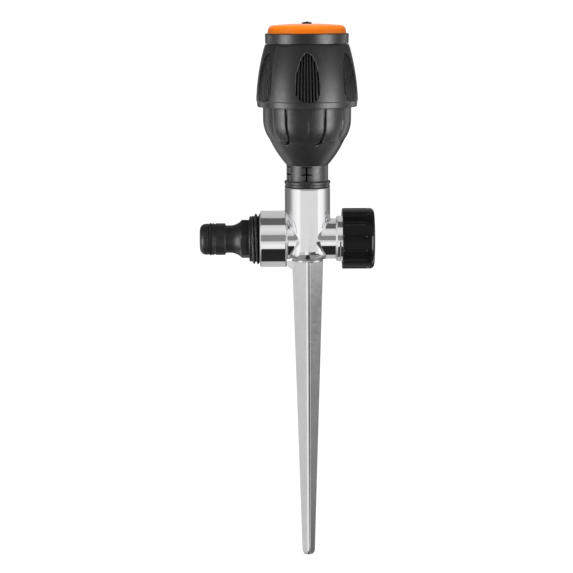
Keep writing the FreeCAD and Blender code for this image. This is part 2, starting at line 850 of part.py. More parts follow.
def make_collar():
    """Ring above the barrel, with a spigot pressed in the inner housing."""
    outer_wall = d.turret_radius + d.free_gap
    turned_body("collar_ring", [
        (16.8, 115.1),
        (d.core_inside - 0.05, 115.1),
        (d.core_inside - 0.05, d.core_top),
        (d.collar_radius - 0.15, d.core_top),
        (d.collar_radius, d.collar_top - 0.3),
        (d.collar_radius - 0.25, d.collar_top),
        (outer_wall, d.collar_top),
        (outer_wall, 118.3),
        (16.8, 118.3),
    ])


# ---------------------------------------------------------------- turret

def make_turret():
    """Everything that turns with the jets: cap, insert, shaft, output gear and thrust washer."""
    turned_body("turret_cap", [
        (18.9, 118.8),
        (d.turret_radius, 118.8),
        (d.turret_radius, 122.6),
        (d.turret_radius - 0.5, d.dome_edge - 1.4),
        Via(d.turret_radius - 0.95, d.dome_edge - 0.35),
        (d.turret_radius - 2.1, d.dome_edge),
        (6.5, d.dome_top),
        (6.5, 125.6),
        (4.3, 125.6),
        (4.3, d.shaft_top),
        (6.2, d.shaft_top),
        (6.2, 119.4),
        (7.6, 119.4),
        (7.6, 124.6),
        (18.9, 124.6),
    ])
    shaft = new_body("turret_shaft")
    turn(shaft, "shaft_turned", [
        (0, 87.6),
        (3.0, 87.6),
        (3.0, 90.2),
        (4.0, 90.2),
        (4.0, d.port_top + 0.2),
        (d.shaft_radius, d.port_top + 0.2),
        (d.shaft_radius, 108.5),
        (8.2, 108.5),
        (8.2, 110.8),
        (d.shaft_radius, 110.8),
        (d.shaft_radius, d.shaft_top),
        (d.shaft_bore, d.shaft_top),
        (d.shaft_bore, 103.0),
        (0, 103.0),
    ])
    turn(shaft, "lower_bush_hole", [
        (0, 87.0),
        (d.pin_radius + d.running_gap, 87.0),
        (d.pin_radius + d.running_gap, 93.6),
        (0, 93.6),
    ], cut=True)
    ports = new_sketch(shaft, "port_circle")
    draw_circle(ports, 1.7, (0, 105.0))
    port = pocket(shaft, "side_port", ports, 10.0, reverse=True)
    repeat_round(shaft, "side_ports", [port], 4)
    ring("thrust_washer", d.shaft_radius + 0.02, 8.2, 110.8, 111.6)
    make_nozzle_insert()


def make_nozzle_insert():
    """Screwed in the shaft to hold the cap; three jets lean outwards from its hollow stem."""
    stem_floor = 116.0
    head_floor = 125.65
    stem = Part.makeCylinder(4.1, head_floor - stem_floor, FreeCAD.Vector(0, 0, stem_floor))
    head = Part.makeCylinder(6.35, 1.45, FreeCAD.Vector(0, 0, head_floor))
    waterway = Part.makeCylinder(2.9, 8.6, FreeCAD.Vector(0, 0, stem_floor))
    shape = stem.fuse(head).cut(waterway)
    lean = 20.0
    nub_radius = 0.85
    jet_radius = 0.4
    for index in range(3):
        turn_round = FreeCAD.Rotation(Z_AXIS, -90 + 120 * index)
        tilt = turn_round.multiply(FreeCAD.Rotation(FreeCAD.Vector(0, 1, 0), lean))
        direction = tilt.multVec(Z_AXIS)
        foot = turn_round.multVec(FreeCAD.Vector(1.35, 0, 0)) + FreeCAD.Vector(0, 0, 126.3)
        nub = Part.makeCylinder(nub_radius, 3.5, foot, direction)
        flat = Part.makeBox(20, 20, 5, FreeCAD.Vector(-10, -10, number(d.crown_top)))
        shape = shape.fuse(nub.cut(flat))
        jet = Part.makeCylinder(jet_radius, 6.0, foot - direction * 2.2, direction)
        shape = shape.cut(jet)
    insert = doc.addObject("Part::Feature", "nozzle_insert")
    insert.Shape = shape.removeSplitter()
    return keep("nozzle_insert", insert)


# ---------------------------------------------------------------- gears and turbine

def tooth_corners(teeth, start, add_height, drop, thickness, tip):
    """Corners of a clock-type gear: radial flanks below the pitch circle, narrowing above it."""
    module = number(d.gear_module)
    pitch_radius = module * teeth / 2
    corners = []
    for index in range(teeth):
        middle = math.radians(start) + 2 * math.pi * index / teeth
        half = thickness / 2 / pitch_radius
        steps = [
            (pitch_radius - drop, -half),
            (pitch_radius, -half),
            (pitch_radius + add_height * 0.6, -half * (0.35 + 0.65 * tip)),
            (pitch_radius + add_height, -half * tip * 0.6),
            (pitch_radius + add_height, half * tip * 0.6),
            (pitch_radius + add_height * 0.6, half * (0.35 + 0.65 * tip)),
            (pitch_radius, half),
            (pitch_radius - drop, half),
        ]
        for radius, angle in steps:
            corners.append(FreeCAD.Vector(
                radius * math.cos(middle + angle), radius * math.sin(middle + angle), 0
            ))
    return corners


def toothed_block(corners, floor, height):
    face = Part.Face(Part.makePolygon(corners + corners[:1]))
    block = face.extrude(FreeCAD.Vector(0, 0, height))
    block.translate(FreeCAD.Vector(0, 0, floor))
    return block


def wheel_block(start, floor):
    corners = tooth_corners(int(number(d.wheel_teeth)), start, 0.48, 0.62, 0.66, 0.5)
    return toothed_block(corners, floor, number(d.gear_face))


def pinion_block(start, floor, height):
    corners = tooth_corners(int(number(d.pinion_teeth)), start, 0.36, 0.72, 0.56, 0.6)
    return toothed_block(corners, floor, height)


def gear_level(level):
    """Underside of the large gear on a level, counted from one."""
    return number(d.first_gear) + (level - 1) * number(d.gear_step)


def drill(shape, radius, floor, top):
    return shape.cut(Part.makeCylinder(radius, top - floor + 2, FreeCAD.Vector(0, 0, floor - 1)))


def gear_feature(label, shape, centre=(0, 0)):
    gear = doc.addObject("Part::Feature", label)
    gear.Shape = shape.removeSplitter()
    gear.Placement = FreeCAD.Placement(FreeCAD.Vector(*centre, 0), FreeCAD.Rotation())
    return keep(label, gear)


def make_gears():
    """Four stages of 24 to 8 teeth between the turbine and the turret, on two parallel axes."""
    face = number(d.gear_face)
    step = number(d.gear_step)
    spacing = number(d.gear_module) * (number(d.wheel_teeth) + number(d.pinion_teeth)) / 2
    half_tooth = 180 / number(d.wheel_teeth)
    free = number(d.pin_radius) + number(d.running_gap)
    arbor = (0, spacing)

    first = gear_level(1)
    pinion = pinion_block(90, first - 0.1, face + 0.4)
    gear_feature("turbine_pinion", drill(pinion, number(d.pin_radius), first, first + 4))

    idlers = (("idler_gear_1", 1, arbor), ("idler_gear_2", 2, (0, 0)), ("idler_gear_3", 3, arbor))
    for label, level, centre in idlers:
        floor = gear_level(level)
        facing = -90 if centre == arbor else 90
        wheel = wheel_block(facing + half_tooth, floor)
        small = pinion_block(facing, floor + face, step + 0.1)
        shape = drill(wheel.fuse(small), free, floor, floor + face + step)
        gear_feature(label, shape, centre)

    floor = gear_level(4)
    output = drill(wheel_block(90 + half_tooth, floor), 3.0, floor, floor + face)
    gear_feature("output_gear", output)

    pin = doc.addObject("Part::Cylinder", "arbor_pin")
    bind(pin, "Radius", d.pin_radius)
    pin.Height = 17.6
    pin.Placement = FreeCAD.Placement(FreeCAD.Vector(0, spacing, 76.4), FreeCAD.Rotation())
    keep("arbor_pin", pin)


def make_turbine():
    """Hub with leaning blades inside a thin rim, pressed on a steel shaft."""
    floor = number(d.turbine_floor)
    height = number(d.turbine_height)
    radius = number(d.turbine_radius)
    hub_radius = 2.6
    rim_inside = radius - 0.9
    hub = Part.makeCylinder(hub_radius, height, FreeCAD.Vector(0, 0, floor))
    rim = Part.makeCylinder(radius, height, FreeCAD.Vector(0, 0, floor)).cut(
        Part.makeCylinder(rim_inside, height, FreeCAD.Vector(0, 0, floor))
    )
    lean = 32.0
    thickness = 0.9
    band = Part.makeCylinder(radius - 0.4, height, FreeCAD.Vector(0, 0, floor))
    blades = []
    for index in range(int(number(d.blade_count))):
        blade = Part.makeBox(radius, thickness, 2 * height)
        blade.translate(FreeCAD.Vector(0, -thickness / 2, -height))
        blade.rotate(FreeCAD.Vector(), FreeCAD.Vector(1, 0, 0), lean)
        blade.translate(FreeCAD.Vector(0, 0, floor + height / 2))
        blade.rotate(FreeCAD.Vector(), Z_AXIS, 360 * index / number(d.blade_count))
        blades.append(blade.common(band))
    shape = drill(hub.fuse(blades + [rim]), number(d.pin_radius), floor, floor + height)
    gear_feature("turbine_rotor", shape)
    shaft = doc.addObject("Part::Cylinder", "turbine_shaft")
    bind(shaft, "Radius", d.pin_radius)
    shaft.Height = 26.7
    shaft.Placement = FreeCAD.Placement(FreeCAD.Vector(0, 0, 66.3), FreeCAD.Rotation())
    keep("turbine_shaft", shaft)


def make_stator():
    """Swirl plate: slanted slots turn the water on to the turbine."""
    floor = 66.1
    thickness = 2.3
    plate = Part.makeCylinder(16.9, thickness, FreeCAD.Vector(0, 0, floor))
    slots = []
    for index in range(8):
        slot = Part.makeBox(3.4, 1.5, 8.0)
        slot.translate(FreeCAD.Vector(8.8, -0.75, -4.0))
        slot.rotate(FreeCAD.Vector(), FreeCAD.Vector(1, 0, 0), -40)
        slot.translate(FreeCAD.Vector(0, 0, floor + thickness / 2))
        slot.rotate(FreeCAD.Vector(), Z_AXIS, 45 * index)
        slots.append(slot)
    hole = number(d.pin_radius) + number(d.running_gap)
    shape = drill(plate.cut(slots), hole, floor, floor + thickness)
    gear_feature("stator_plate", shape)


def make_gearbox():
    """Round case on three posts, a lid with a spacer rim, a brass bush and three screws."""
    floor = number(d.case_floor)
    lid_floor = number(d.lid_floor)
    spacing = number(d.gear_module) * (number(d.wheel_teeth) + number(d.pinion_teeth)) / 2
    screw_circle = 12.9
    screw_angles = (210, 270, 330)
    case = Part.makeCylinder(number(d.case_radius), lid_floor - floor, FreeCAD.Vector(0, 0, floor))
    hollow = Part.makeCylinder(
        number(d.case_inside), lid_floor - floor, FreeCAD.Vector(0, 0, floor + 2.4)
    )
    case = case.cut(hollow)
    post_height = floor - 68.4
    screws = []
    lid_holes = []
    for angle in screw_angles:
        spot = FreeCAD.Rotation(Z_AXIS, angle).multVec(FreeCAD.Vector(screw_circle, 0, 0))
        pillar = Part.makeCylinder(2.0, lid_floor - floor, spot + FreeCAD.Vector(0, 0, floor))
        pilot = Part.makeCylinder(0.85, 9.0, spot + FreeCAD.Vector(0, 0, lid_floor - 9.0))
        case = case.fuse(pillar).cut(pilot)
        shank = Part.makeCylinder(0.84, 10.0, spot + FreeCAD.Vector(0, 0, lid_floor - 8.0))
        head = Part.makeCylinder(1.7, 1.2, spot + FreeCAD.Vector(0, 0, lid_floor + 1.4))
        drive = Part.makeBox(2.2, 0.5, 0.6, spot + FreeCAD.Vector(-1.1, -0.25, lid_floor + 2.1))
        screws.append(shank.fuse(head).cut(drive))
        lid_holes.append(Part.makeCylinder(1.0, 4.0, spot + FreeCAD.Vector(0, 0, lid_floor - 1)))
        lid_holes.append(Part.makeCylinder(1.8, 4.0, spot + FreeCAD.Vector(0, 0, lid_floor + 1.4)))
    for angle in (30, 150, 270):
        spot = FreeCAD.Rotation(Z_AXIS, angle).multVec(FreeCAD.Vector(14.9, 0, 68.4))
        case = case.fuse(Part.makeCylinder(1.2, post_height + 0.5, spot))
    pin_seat = FreeCAD.Vector(0, spacing, floor + 0.6)
    case = case.cut(Part.makeCylinder(number(d.pin_radius), 6.0, pin_seat))
    bush_outer = 2.4
    case = drill(case, bush_outer, floor, floor + 2.4)
    gear_feature("gearbox_case", case)
    ring("lower_bush", d.pin_radius + d.running_gap, bush_outer, 75.6, 78.3)

    thickness = number(d.lid_top) - lid_floor
    lid = Part.makeCylinder(number(d.case_radius), thickness, FreeCAD.Vector(0, 0, lid_floor))
    rim_height = number(d.port_floor) - lid_floor
    rim = Part.makeCylinder(number(d.case_radius), rim_height, FreeCAD.Vector(0, 0, lid_floor))
    rim = rim.cut(Part.makeCylinder(14.9, rim_height, FreeCAD.Vector(0, 0, lid_floor)))
    lid = lid.fuse(rim).cut(lid_holes)
    lid = drill(lid, 4.0 + number(d.running_gap), lid_floor, lid_floor + thickness)
    pin_end = FreeCAD.Vector(0, spacing, lid_floor - 1)
    lid = lid.cut(Part.makeCylinder(number(d.pin_radius), 3.0, pin_end))
    gear_feature("gearbox_lid", lid)
    screw_group = doc.addObject("Part::Feature", "gearbox_screws")
    screw_group.Shape = Part.makeCompound(screws)
    keep("gearbox_screws", screw_group)


# ---------------------------------------------------------------- throttle

def notched_disc(inner, outer, floor, top):
    """A disc with three equal notches for the water in its outer edge."""
    disc = Part.makeCylinder(outer, top - floor, FreeCAD.Vector(0, 0, floor))
    disc = disc.cut(Part.makeCylinder(inner, top - floor, FreeCAD.Vector(0, 0, floor)))
    angle = number(d.port_angle)
    band = Part.makeCylinder(outer + 2, top - floor, FreeCAD.Vector(0, 0, floor), Z_AXIS, angle)
    band = band.cut(Part.makeCylinder(number(d.port_inner), top - floor, FreeCAD.Vector(0, 0, floor)))
    for index in range(3):
        notch = band.copy()
        notch.rotate(FreeCAD.Vector(), Z_AXIS, 120 * index - angle / 2)
        disc = disc.cut(notch)
    return disc


def make_throttle():
    """Quarter-turn valve: a fixed port plate under a ring that the barrel turns by its key."""
    port = notched_disc(4.3, 18.25, number(d.port_floor), number(d.port_top))
    gear_feature("port_plate", port)
    floor = number(d.throttle_floor)
    top = number(d.throttle_top)
    throttle = notched_disc(9.0, 18.1, floor, top)
    key_width = 3.0
    key_start = 14.0
    key_end = 22.0
    middle = (floor + top) / 2
    key = Part.makeBox(
        key_end - key_start, key_width, 1.8,
        FreeCAD.Vector(-key_end, -key_width / 2, middle - 0.9),
    )
    throttle = throttle.cut(Part.makeBox(
        5.0, key_width, 1.8, FreeCAD.Vector(-19.0, -key_width / 2, middle - 0.9)
    ))
    gear_feature("throttle_ring", throttle)
    gear_feature("throttle_key", key)
    return middle, key_width, key_end


def cut_key_seat(sleeve, middle, key_width, key_end):
    """Seat in the barrel's bore for the outer end of the throttle key."""
    sketch = new_sketch(sleeve, "key_seat_outline", "YZ_Plane")
    half = key_width / 2
    draw_outline(sketch, [
        (-half, middle - 0.9),
        (half, middle - 0.9),
        (half, middle + 0.9),
        (-half, middle + 0.9),
    ])
    pocket(sleeve, "key_seat", sketch, key_end + 0.05, reverse=False)


# ---------------------------------------------------------------- whole object

def check_and_write():
    doc.recompute()
    for obj in doc.Objects:
        if "Invalid" in obj.State or "Error" in obj.State:
            raise RuntimeError(f"{obj.Label} failed: {obj.State}")
    os.makedirs("parts", exist_ok=True)
    for part in subparts:
        shape = part.Shape
        if shape.isNull() or not shape.isValid():
            raise RuntimeError(f"{part.Label} has no valid shape")
        shape.exportStep(os.path.join("parts", f"{part.Label}.step"))
        print(f"{part.Label}: {len(shape.Solids)} solid(s), {shape.Volume:.1f} mm3")


make_casting()
make_spike()
make_spike_nut()
make_adaptor()
make_adaptor_seals()
make_end_cap()
make_riser()
make_neck()
make_bowl()
barrel = make_sleeve()
make_core()
make_collar()
make_turret()
make_gears()
make_turbine()
make_stator()
make_gearbox()
cut_key_seat(barrel, *make_throttle())
check_and_write()
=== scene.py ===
"""The looks of the turbine-driven garden sprinkler: fine meshes, materials and a white studio."""
import math

import bpy
import numpy as np
from mathutils import Euler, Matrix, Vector


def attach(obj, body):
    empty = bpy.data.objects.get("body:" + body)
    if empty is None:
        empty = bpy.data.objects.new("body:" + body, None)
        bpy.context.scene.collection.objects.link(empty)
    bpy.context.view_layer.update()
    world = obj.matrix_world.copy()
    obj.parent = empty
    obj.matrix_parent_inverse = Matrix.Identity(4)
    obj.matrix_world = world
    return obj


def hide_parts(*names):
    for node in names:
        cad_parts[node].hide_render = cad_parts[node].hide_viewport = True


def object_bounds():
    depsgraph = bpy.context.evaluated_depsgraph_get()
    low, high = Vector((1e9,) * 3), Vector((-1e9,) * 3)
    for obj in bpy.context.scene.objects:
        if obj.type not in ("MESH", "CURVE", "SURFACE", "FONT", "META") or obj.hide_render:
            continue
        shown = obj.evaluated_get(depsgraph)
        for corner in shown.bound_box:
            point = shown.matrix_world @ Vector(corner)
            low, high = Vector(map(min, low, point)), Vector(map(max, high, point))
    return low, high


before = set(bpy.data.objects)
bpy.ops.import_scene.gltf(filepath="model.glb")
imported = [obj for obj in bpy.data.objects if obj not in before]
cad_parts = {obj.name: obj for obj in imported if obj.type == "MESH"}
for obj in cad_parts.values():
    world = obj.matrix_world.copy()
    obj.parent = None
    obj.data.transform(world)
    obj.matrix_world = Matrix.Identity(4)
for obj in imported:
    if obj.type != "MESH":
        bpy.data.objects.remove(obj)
CAD_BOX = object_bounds()

# Sizes are in millimetres, as in the design, and become metres in make_object.
MM = 0.001
TURN = 2 * math.pi
CROSS_HEIGHT = 13.9
ADAPTOR_START = 15.2
CAP_START = 18.3
THREAD_PITCH = 2.209
THREAD_ROOT = 12.1
THREAD_CREST = 13.48


# ---------------------------------------------------------------- outlines

def arc(start, via, stop, steps=12):
    """Points between start and stop on the circle through all three."""
    (ax, ay), (bx, by), (cx, cy) = start, via, stop
    twice = 2 * (ax * (by - cy) + bx * (cy - ay) + cx * (ay - by))
    a2, b2, c2 = ax * ax + ay * ay, bx * bx + by * by, cx * cx + cy * cy
    ox = (a2 * (by - cy) + b2 * (cy - ay) + c2 * (ay - by)) / twice
    oy = (a2 * (cx - bx) + b2 * (ax - cx) + c2 * (bx - ax)) / twice
    first = math.atan2(ay - oy, ax - ox)
    sweep = (math.atan2(cy - oy, cx - ox) - first) % TURN
    if (math.atan2(by - oy, bx - ox) - first) % TURN > sweep:
        sweep -= TURN
    radius = math.hypot(ax - ox, ay - oy)
    inner = [first + sweep * k / steps for k in range(1, steps)]
    return [(ox + radius * math.cos(t), oy + radius * math.sin(t)) for t in inner]


def rounded(corners, steps=6):
    """An outline whose corners become arcs where a third number gives their radius."""
    points = []
    for index, corner in enumerate(corners):
        here = np.array(corner[:2], float)
        if len(corner) < 3:
            points.append(here)
            continue
        back = np.array(corners[index - 1][:2], float) - here
        ahead = np.array(corners[(index + 1) % len(corners)][:2], float) - here
        room = 0.49 * min(np.linalg.norm(back), np.linalg.norm(ahead))
        back /= np.linalg.norm(back)
        ahead /= np.linalg.norm(ahead)
        half = 0.5 * math.acos(np.clip(back @ ahead, -1, 1))
        reach = min(corner[2] / math.tan(half), room)
        radius = reach * math.tan(half)
        bisector = (back + ahead) / np.linalg.norm(back + ahead)
        centre = here + bisector * radius / math.sin(half)
        first, last = here + back * reach - centre, here + ahead * reach - centre
        sweep = math.acos(np.clip(first @ last / radius ** 2, -1, 1))
        for k in range(steps + 1):
            share = k / steps
            mix = math.sin((1 - share) * sweep) * first + math.sin(share * sweep) * last
            points.append(centre + mix / math.sin(sweep))
    return np.array(points)


def spaced(points, step, low=-math.inf, high=math.inf):
    """The closed outline with no gap over the step between heights low and high."""
    dense = []
    for index, here in enumerate(points):
        ahead = points[(index + 1) % len(points)]
        inside = low <= 0.5 * (here[1] + ahead[1]) <= high
        parts = max(1, math.ceil(np.linalg.norm(ahead - here) / step)) if inside else 1
        dense += [here + (ahead - here) * k / parts for k in range(parts)]
    return np.array(dense)


def held(points, closed=True, reach=0.12):
    """The outline with points added near both ends of its long edges, so flat walls shade flat."""
    dense = []
    for index, here in enumerate(points):
        dense.append(here)
        if index == len(points) - 1 and not closed:
            break
        edge = points[(index + 1) % len(points)] - here
        length = np.linalg.norm(edge)
        if length > 5 * reach:
            dense += [here + edge * reach / length, here + edge * (1 - reach / length)]
    return np.array(dense)


def smooth_step(low, high, value):
    """Rise smoothly from 0 at low to 1 at high."""
    share = np.clip((value - low) / (high - low), 0, 1)
    return share * share * (3 - 2 * share)


def smooth_min(first, second, blend):
    """The smaller of two values, with their meeting rounded over the blend."""
    share = np.clip(0.5 + 0.5 * (second - first) / blend, 0, 1)
    return second + (first - second) * share - blend * share * (1 - share)


def smooth_max(first, second, blend):
    """The larger of two values, with their meeting rounded over the blend."""
    return -smooth_min(-first, -second, blend)


def near(angle, centre):
    """The signed angle from a centre, between -pi and pi."""
    return (angle - centre + math.pi) % TURN - math.pi


# ---------------------------------------------------------------- meshes

def upright(points):
    """Pieces turned about the upright axis stay as they are."""
    return points


def to_left(points):
    """A piece turned along its own axis from the adaptor's washer face, laid along -X."""
    across, forward, along = points.T
    return np.stack([-ADAPTOR_START - along, forward, CROSS_HEIGHT + across], axis=1)


def to_right(points):
    """A piece turned along its own axis from the end cap's open end, laid along +X."""
    across, forward, along = points.T
    return np.stack([CAP_START + along, forward, CROSS_HEIGHT - across], axis=1)


def make_object(name, points, faces, sharp_degrees=40):
    """A smooth-shaded mesh object from points in millimetres."""
    mesh = bpy.data.meshes.new(name)
    mesh.from_pydata((np.asarray(points) * MM).tolist(), [], faces)
    mesh.validate()
    mesh.shade_smooth()
    mesh.set_sharp_from_angle(angle=math.radians(sharp_degrees))
    piece = bpy.data.objects.new(name, mesh)
    bpy.context.scene.collection.objects.link(piece)
    return piece


def grid_faces(columns, rows, wrap_rows):
    """Faces of a grid that closes on itself round the axis, and across it where asked."""
    column = np.arange(columns)[:, None]
    following = (column + 1) % columns
    row = np.arange(rows if wrap_rows else rows - 1)[None, :]
    after = (row + 1) % rows
    corners = [column * rows + row, following * rows + row,
               following * rows + after, column * rows + after]
    return np.stack(corners, axis=-1).reshape(-1, 4).tolist()


def turned(name, profile, angles, shape=None, lay=upright, sharp_degrees=40):
    """A profile of (radius, height) points swept round an axis.

    Angle 0 faces the front, -Y, and angles grow towards +X. The profile climbs the outer wall, so
    that faces look outwards. It is a closed ring, unless it starts and ends on the axis.
    """
    solid_core = profile[0][0] < 1e-6
    inner = held(profile[1:-1], closed=False) if solid_core else held(profile)
    angle = np.asarray(angles)[:, None]
    radius = np.repeat(inner[None, :, 0], len(angles), axis=0)
    height = np.repeat(inner[None, :, 1], len(angles), axis=0)
    if shape is not None:
        radius, height = shape(angle, radius, height)
    points = np.stack([radius * np.sin(angle), -radius * np.cos(angle), height], axis=-1)
    points = points.reshape(-1, 3)
    rows = len(inner)
    faces = grid_faces(len(angles), rows, not solid_core)
    if solid_core:
        first, last = len(points), len(points) + 1
        points = np.vstack([points, [0, 0, profile[0][1]], [0, 0, profile[-1][1]]])
        for column in range(len(angles)):
            following = (column + 1) % len(angles)
            faces.append([first, following * rows, column * rows])
            faces.append([last, column * rows + rows - 1, following * rows + rows - 1])
    return make_object(name, lay(points), faces, sharp_degrees)


def even_angles(count):
    """Angles spaced evenly all round."""
    return np.arange(count) * TURN / count


def crowded_angles(count, half_width, fine, coarse):
    """Angles all round, dense within half_width of each of count evenly spaced centres."""
    pitch = TURN / count
    dense = np.linspace(-half_width, half_width, fine, endpoint=False)
    sparse = np.linspace(half_width, pitch - half_width, coarse, endpoint=False)
    sector = np.concatenate([dense, sparse])
    return np.concatenate([sector + index * pitch for index in range(count)])


def thread_rise(angle, along, first_turn, turns):
    """Height of a right-hand ridge over the root cylinder, with run-outs at both ends."""
    crest_half, root_half = 0.28, 1.0
    out, full = 0.35, 0.1
    travelled = (along - first_turn) / THREAD_PITCH
    lead = travelled - (angle - math.radians(90)) / TURN
    offset = np.abs((lead + 0.5) % 1 - 0.5) * THREAD_PITCH
    ridge = smooth_step(root_half, crest_half, offset)
    fade = smooth_step(-out, full, travelled) * smooth_step(turns + out, turns - full, travelled)
    return (THREAD_CREST - THREAD_ROOT) * ridge * fade


def surface_net(name, field, low, high, cell):
    """A mesh of the surface where a distance field is zero, with its vertices drawn onto it."""
    axes = [np.arange(a, b + cell, cell) for a, b in zip(low, high)]
    grid = np.stack(np.meshgrid(*axes, indexing="ij"), axis=-1)
    value = field(grid)
    inside = value < 0
    shifts = [(i, j, k) for i in (0, 1) for j in (0, 1) for k in (0, 1)]
    size = np.array(value.shape) - 1
    corner = [inside[i:i + size[0], j:j + size[1], k:k + size[2]] for i, j, k in shifts]
    total = sum(c.astype(np.int8) for c in corner)
    active = np.argwhere((total > 0) & (total < 8))
    number = np.full(size, -1, int)
    number[tuple(active.T)] = np.arange(len(active))
    points = grid[tuple(active.T)] + cell / 2
    for _ in range(6):
        distance = field(points)
        slope = gradient(field, points)
        step = (distance / np.maximum((slope ** 2).sum(-1), 1e-6))[:, None] * slope
        points = points - np.clip(step, -cell / 2, cell / 2)
    faces = []
    for axis in range(3):
        other, third = (axis + 1) % 3, (axis + 2) % 3
        first = np.take(inside, range(size[axis]), axis)
        second = np.take(inside, range(1, size[axis] + 1), axis)
        for leaving in (True, False):
            crossing = (first & ~second) if leaving else (~first & second)
            edge = np.argwhere(crossing)
            edge = edge[(edge[:, other] > 0) & (edge[:, third] > 0)]
            back, side = np.zeros(3, int), np.zeros(3, int)
            back[other], side[third] = 1, 1
            ring = [edge - back - side, edge - side, edge, edge - back]
            quad = np.stack([number[tuple(cells.T)] for cells in ring], axis=-1)
            faces.append(quad if leaving else quad[:, ::-1])
    piece = make_object(name, points, np.concatenate(faces).tolist(), 180)
    shading_step = 0.25
    slope = gradient(field, points, shading_step)
    slope /= np.linalg.norm(slope, axis=-1, keepdims=True)
    piece.data.normals_split_custom_set_from_vertices(slope.tolist())
    return piece


def gradient(field, points, step=0.02):
    """The slope of a field along x, y and z, by differences over a small step."""
    parts = []
    for axis in range(3):
        shift = np.zeros(3)
        shift[axis] = step
        parts.append((field(points + shift) - field(points - shift)) / (2 * step))
    return np.stack(parts, axis=-1)


def disc_field(across, along, radius, start, stop, start_round, stop_round):
    """Distance to a cylinder with its two rims rounded."""
    distances = []
    for beyond, rim in ((start - along, start_round), (along - stop, stop_round)):
        outward = across - (radius - rim)
        upward = beyond + rim
        corner = np.hypot(np.maximum(outward, 0), np.maximum(upward, 0))
        distances.append(corner + np.minimum(np.maximum(outward, upward), 0) - rim)
    return np.maximum(*distances)


# The casting: its tube stands on the upright axis, and the rest lies along the cross axis.
TUBE_RADIUS, TUBE_FOOT, TUBE_TOP = 12.12, 3.0, 41.5
BARREL_RADIUS, BARREL_START, BARREL_END = 10.83, -12.0, 18.0
SOCKET_RADIUS, SOCKET_START, SOCKET_END = 15.05, -25.4, -11.1
COLLAR_RADIUS, COLLAR_START, COLLAR_END = 12.2, 15.2, 17.4
STUB_START, STUB_END = 17.0, 29.7
CHAMBER_RADIUS, CHAMBER_FLOOR = 9.0, 6.2
RISER_BORE_RADIUS, RISER_BORE_FLOOR = 10.3, 29.0
CROSS_BORE_RADIUS = 7.5
SOCKET_BORE_RADIUS, SOCKET_BORE_END = 13.64, -13.0
STUD_HOLE_RADIUS, STUD_HOLE_TOP = 3.05, 7.0


def casting_field(point):
    """The die-cast base: upright tube, cross barrel, socket, collar and threaded stub, bored out."""
    x, y, z = point[..., 0], point[..., 1], point[..., 2]
    from_upright = np.hypot(x, y)
    from_cross = np.hypot(y, z - CROSS_HEIGHT)
    tube = disc_field(from_upright, z, TUBE_RADIUS, TUBE_FOOT, TUBE_TOP,
                      start_round=5.0, stop_round=0.5)
    barrel = disc_field(from_cross, x, BARREL_RADIUS, BARREL_START, BARREL_END,
                        start_round=0.1, stop_round=0.1)
    socket = disc_field(from_cross, x, SOCKET_RADIUS, SOCKET_START, SOCKET_END,
                        start_round=0.8, stop_round=0.8)
    collar = disc_field(from_cross, x, COLLAR_RADIUS, COLLAR_START, COLLAR_END,
                        start_round=0.8, stop_round=0.3)
    around = np.arctan2(y, CROSS_HEIGHT - z)
    rise = thread_rise(around + math.radians(90), x - COLLAR_END, first_turn=2.0, turns=3.9)
    stub = disc_field(from_cross - rise, x, THREAD_ROOT, STUB_START, STUB_END,
                      start_round=0.1, stop_round=0.8)
    bar = smooth_min(barrel, collar, blend=0.5)
    bar = smooth_min(bar, socket, blend=0.6)
    solid = smooth_min(tube, bar, blend=0.6)
    solid = np.minimum(solid, stub)
    chamber = np.maximum(from_upright - CHAMBER_RADIUS, CHAMBER_FLOOR - z)
    riser_socket = np.maximum(from_upright - RISER_BORE_RADIUS, RISER_BORE_FLOOR - z)
    cross_bore = from_cross - CROSS_BORE_RADIUS
    socket_bore = np.maximum(from_cross - SOCKET_BORE_RADIUS, x - SOCKET_BORE_END)
    stud_hole = np.maximum(from_upright - STUD_HOLE_RADIUS, z - STUD_HOLE_TOP)
    hollow = np.minimum(np.minimum(chamber, riser_socket), np.minimum(cross_bore, socket_bore))
    hollow = np.minimum(hollow, stud_hole)
    return smooth_max(solid, -hollow, blend=0.35)


# ---------------------------------------------------------------- the pieces

def make_casting():
    """The skin of the die casting, a net over its distance field."""
    margin = 0.8
    low = np.array([SOCKET_START, -SOCKET_RADIUS, CROSS_HEIGHT - SOCKET_RADIUS]) - margin
    high = np.array([STUB_END, SOCKET_RADIUS, TUBE_TOP]) + margin
    return surface_net("casting_shell", casting_field, low, high, cell=0.36)


SPIKE_TWIST = math.radians(-3.5)


def cross_outline(reach, edge, root):
    """Four fins round the axis, a little turned, with soft outer edges and filleted roots."""
    corners = []
    directions = [(1, 0), (0, 1), (-1, 0), (0, -1)]
    for index, (along_x, along_y) in enumerate(directions):
        next_x, next_y = directions[(index + 1) % 4]
        soft = 0.45 * edge
        corners.append((reach * along_x - edge * next_x, reach * along_y - edge * next_y, soft))
        corners.append((reach * along_x + edge * next_x, reach * along_y + edge * next_y, soft))
        corners.append((root * (along_x + next_x), root * (along_y + next_y), 0.15 * root))
    steps = 4
    points = rounded(corners, steps)
    held_points = []
    for index, here in enumerate(points):
        held_points.append(here)
        if index % (steps + 1) == steps:
            ahead = points[(index + 1) % len(points)]
            held_points += [here + 0.05 * (ahead - here), here + 0.95 * (ahead - here)]
    turn = np.array([[math.cos(SPIKE_TWIST), -math.sin(SPIKE_TWIST)],
                     [math.sin(SPIKE_TWIST), math.cos(SPIKE_TWIST)]])
    return np.array(held_points) @ turn.T


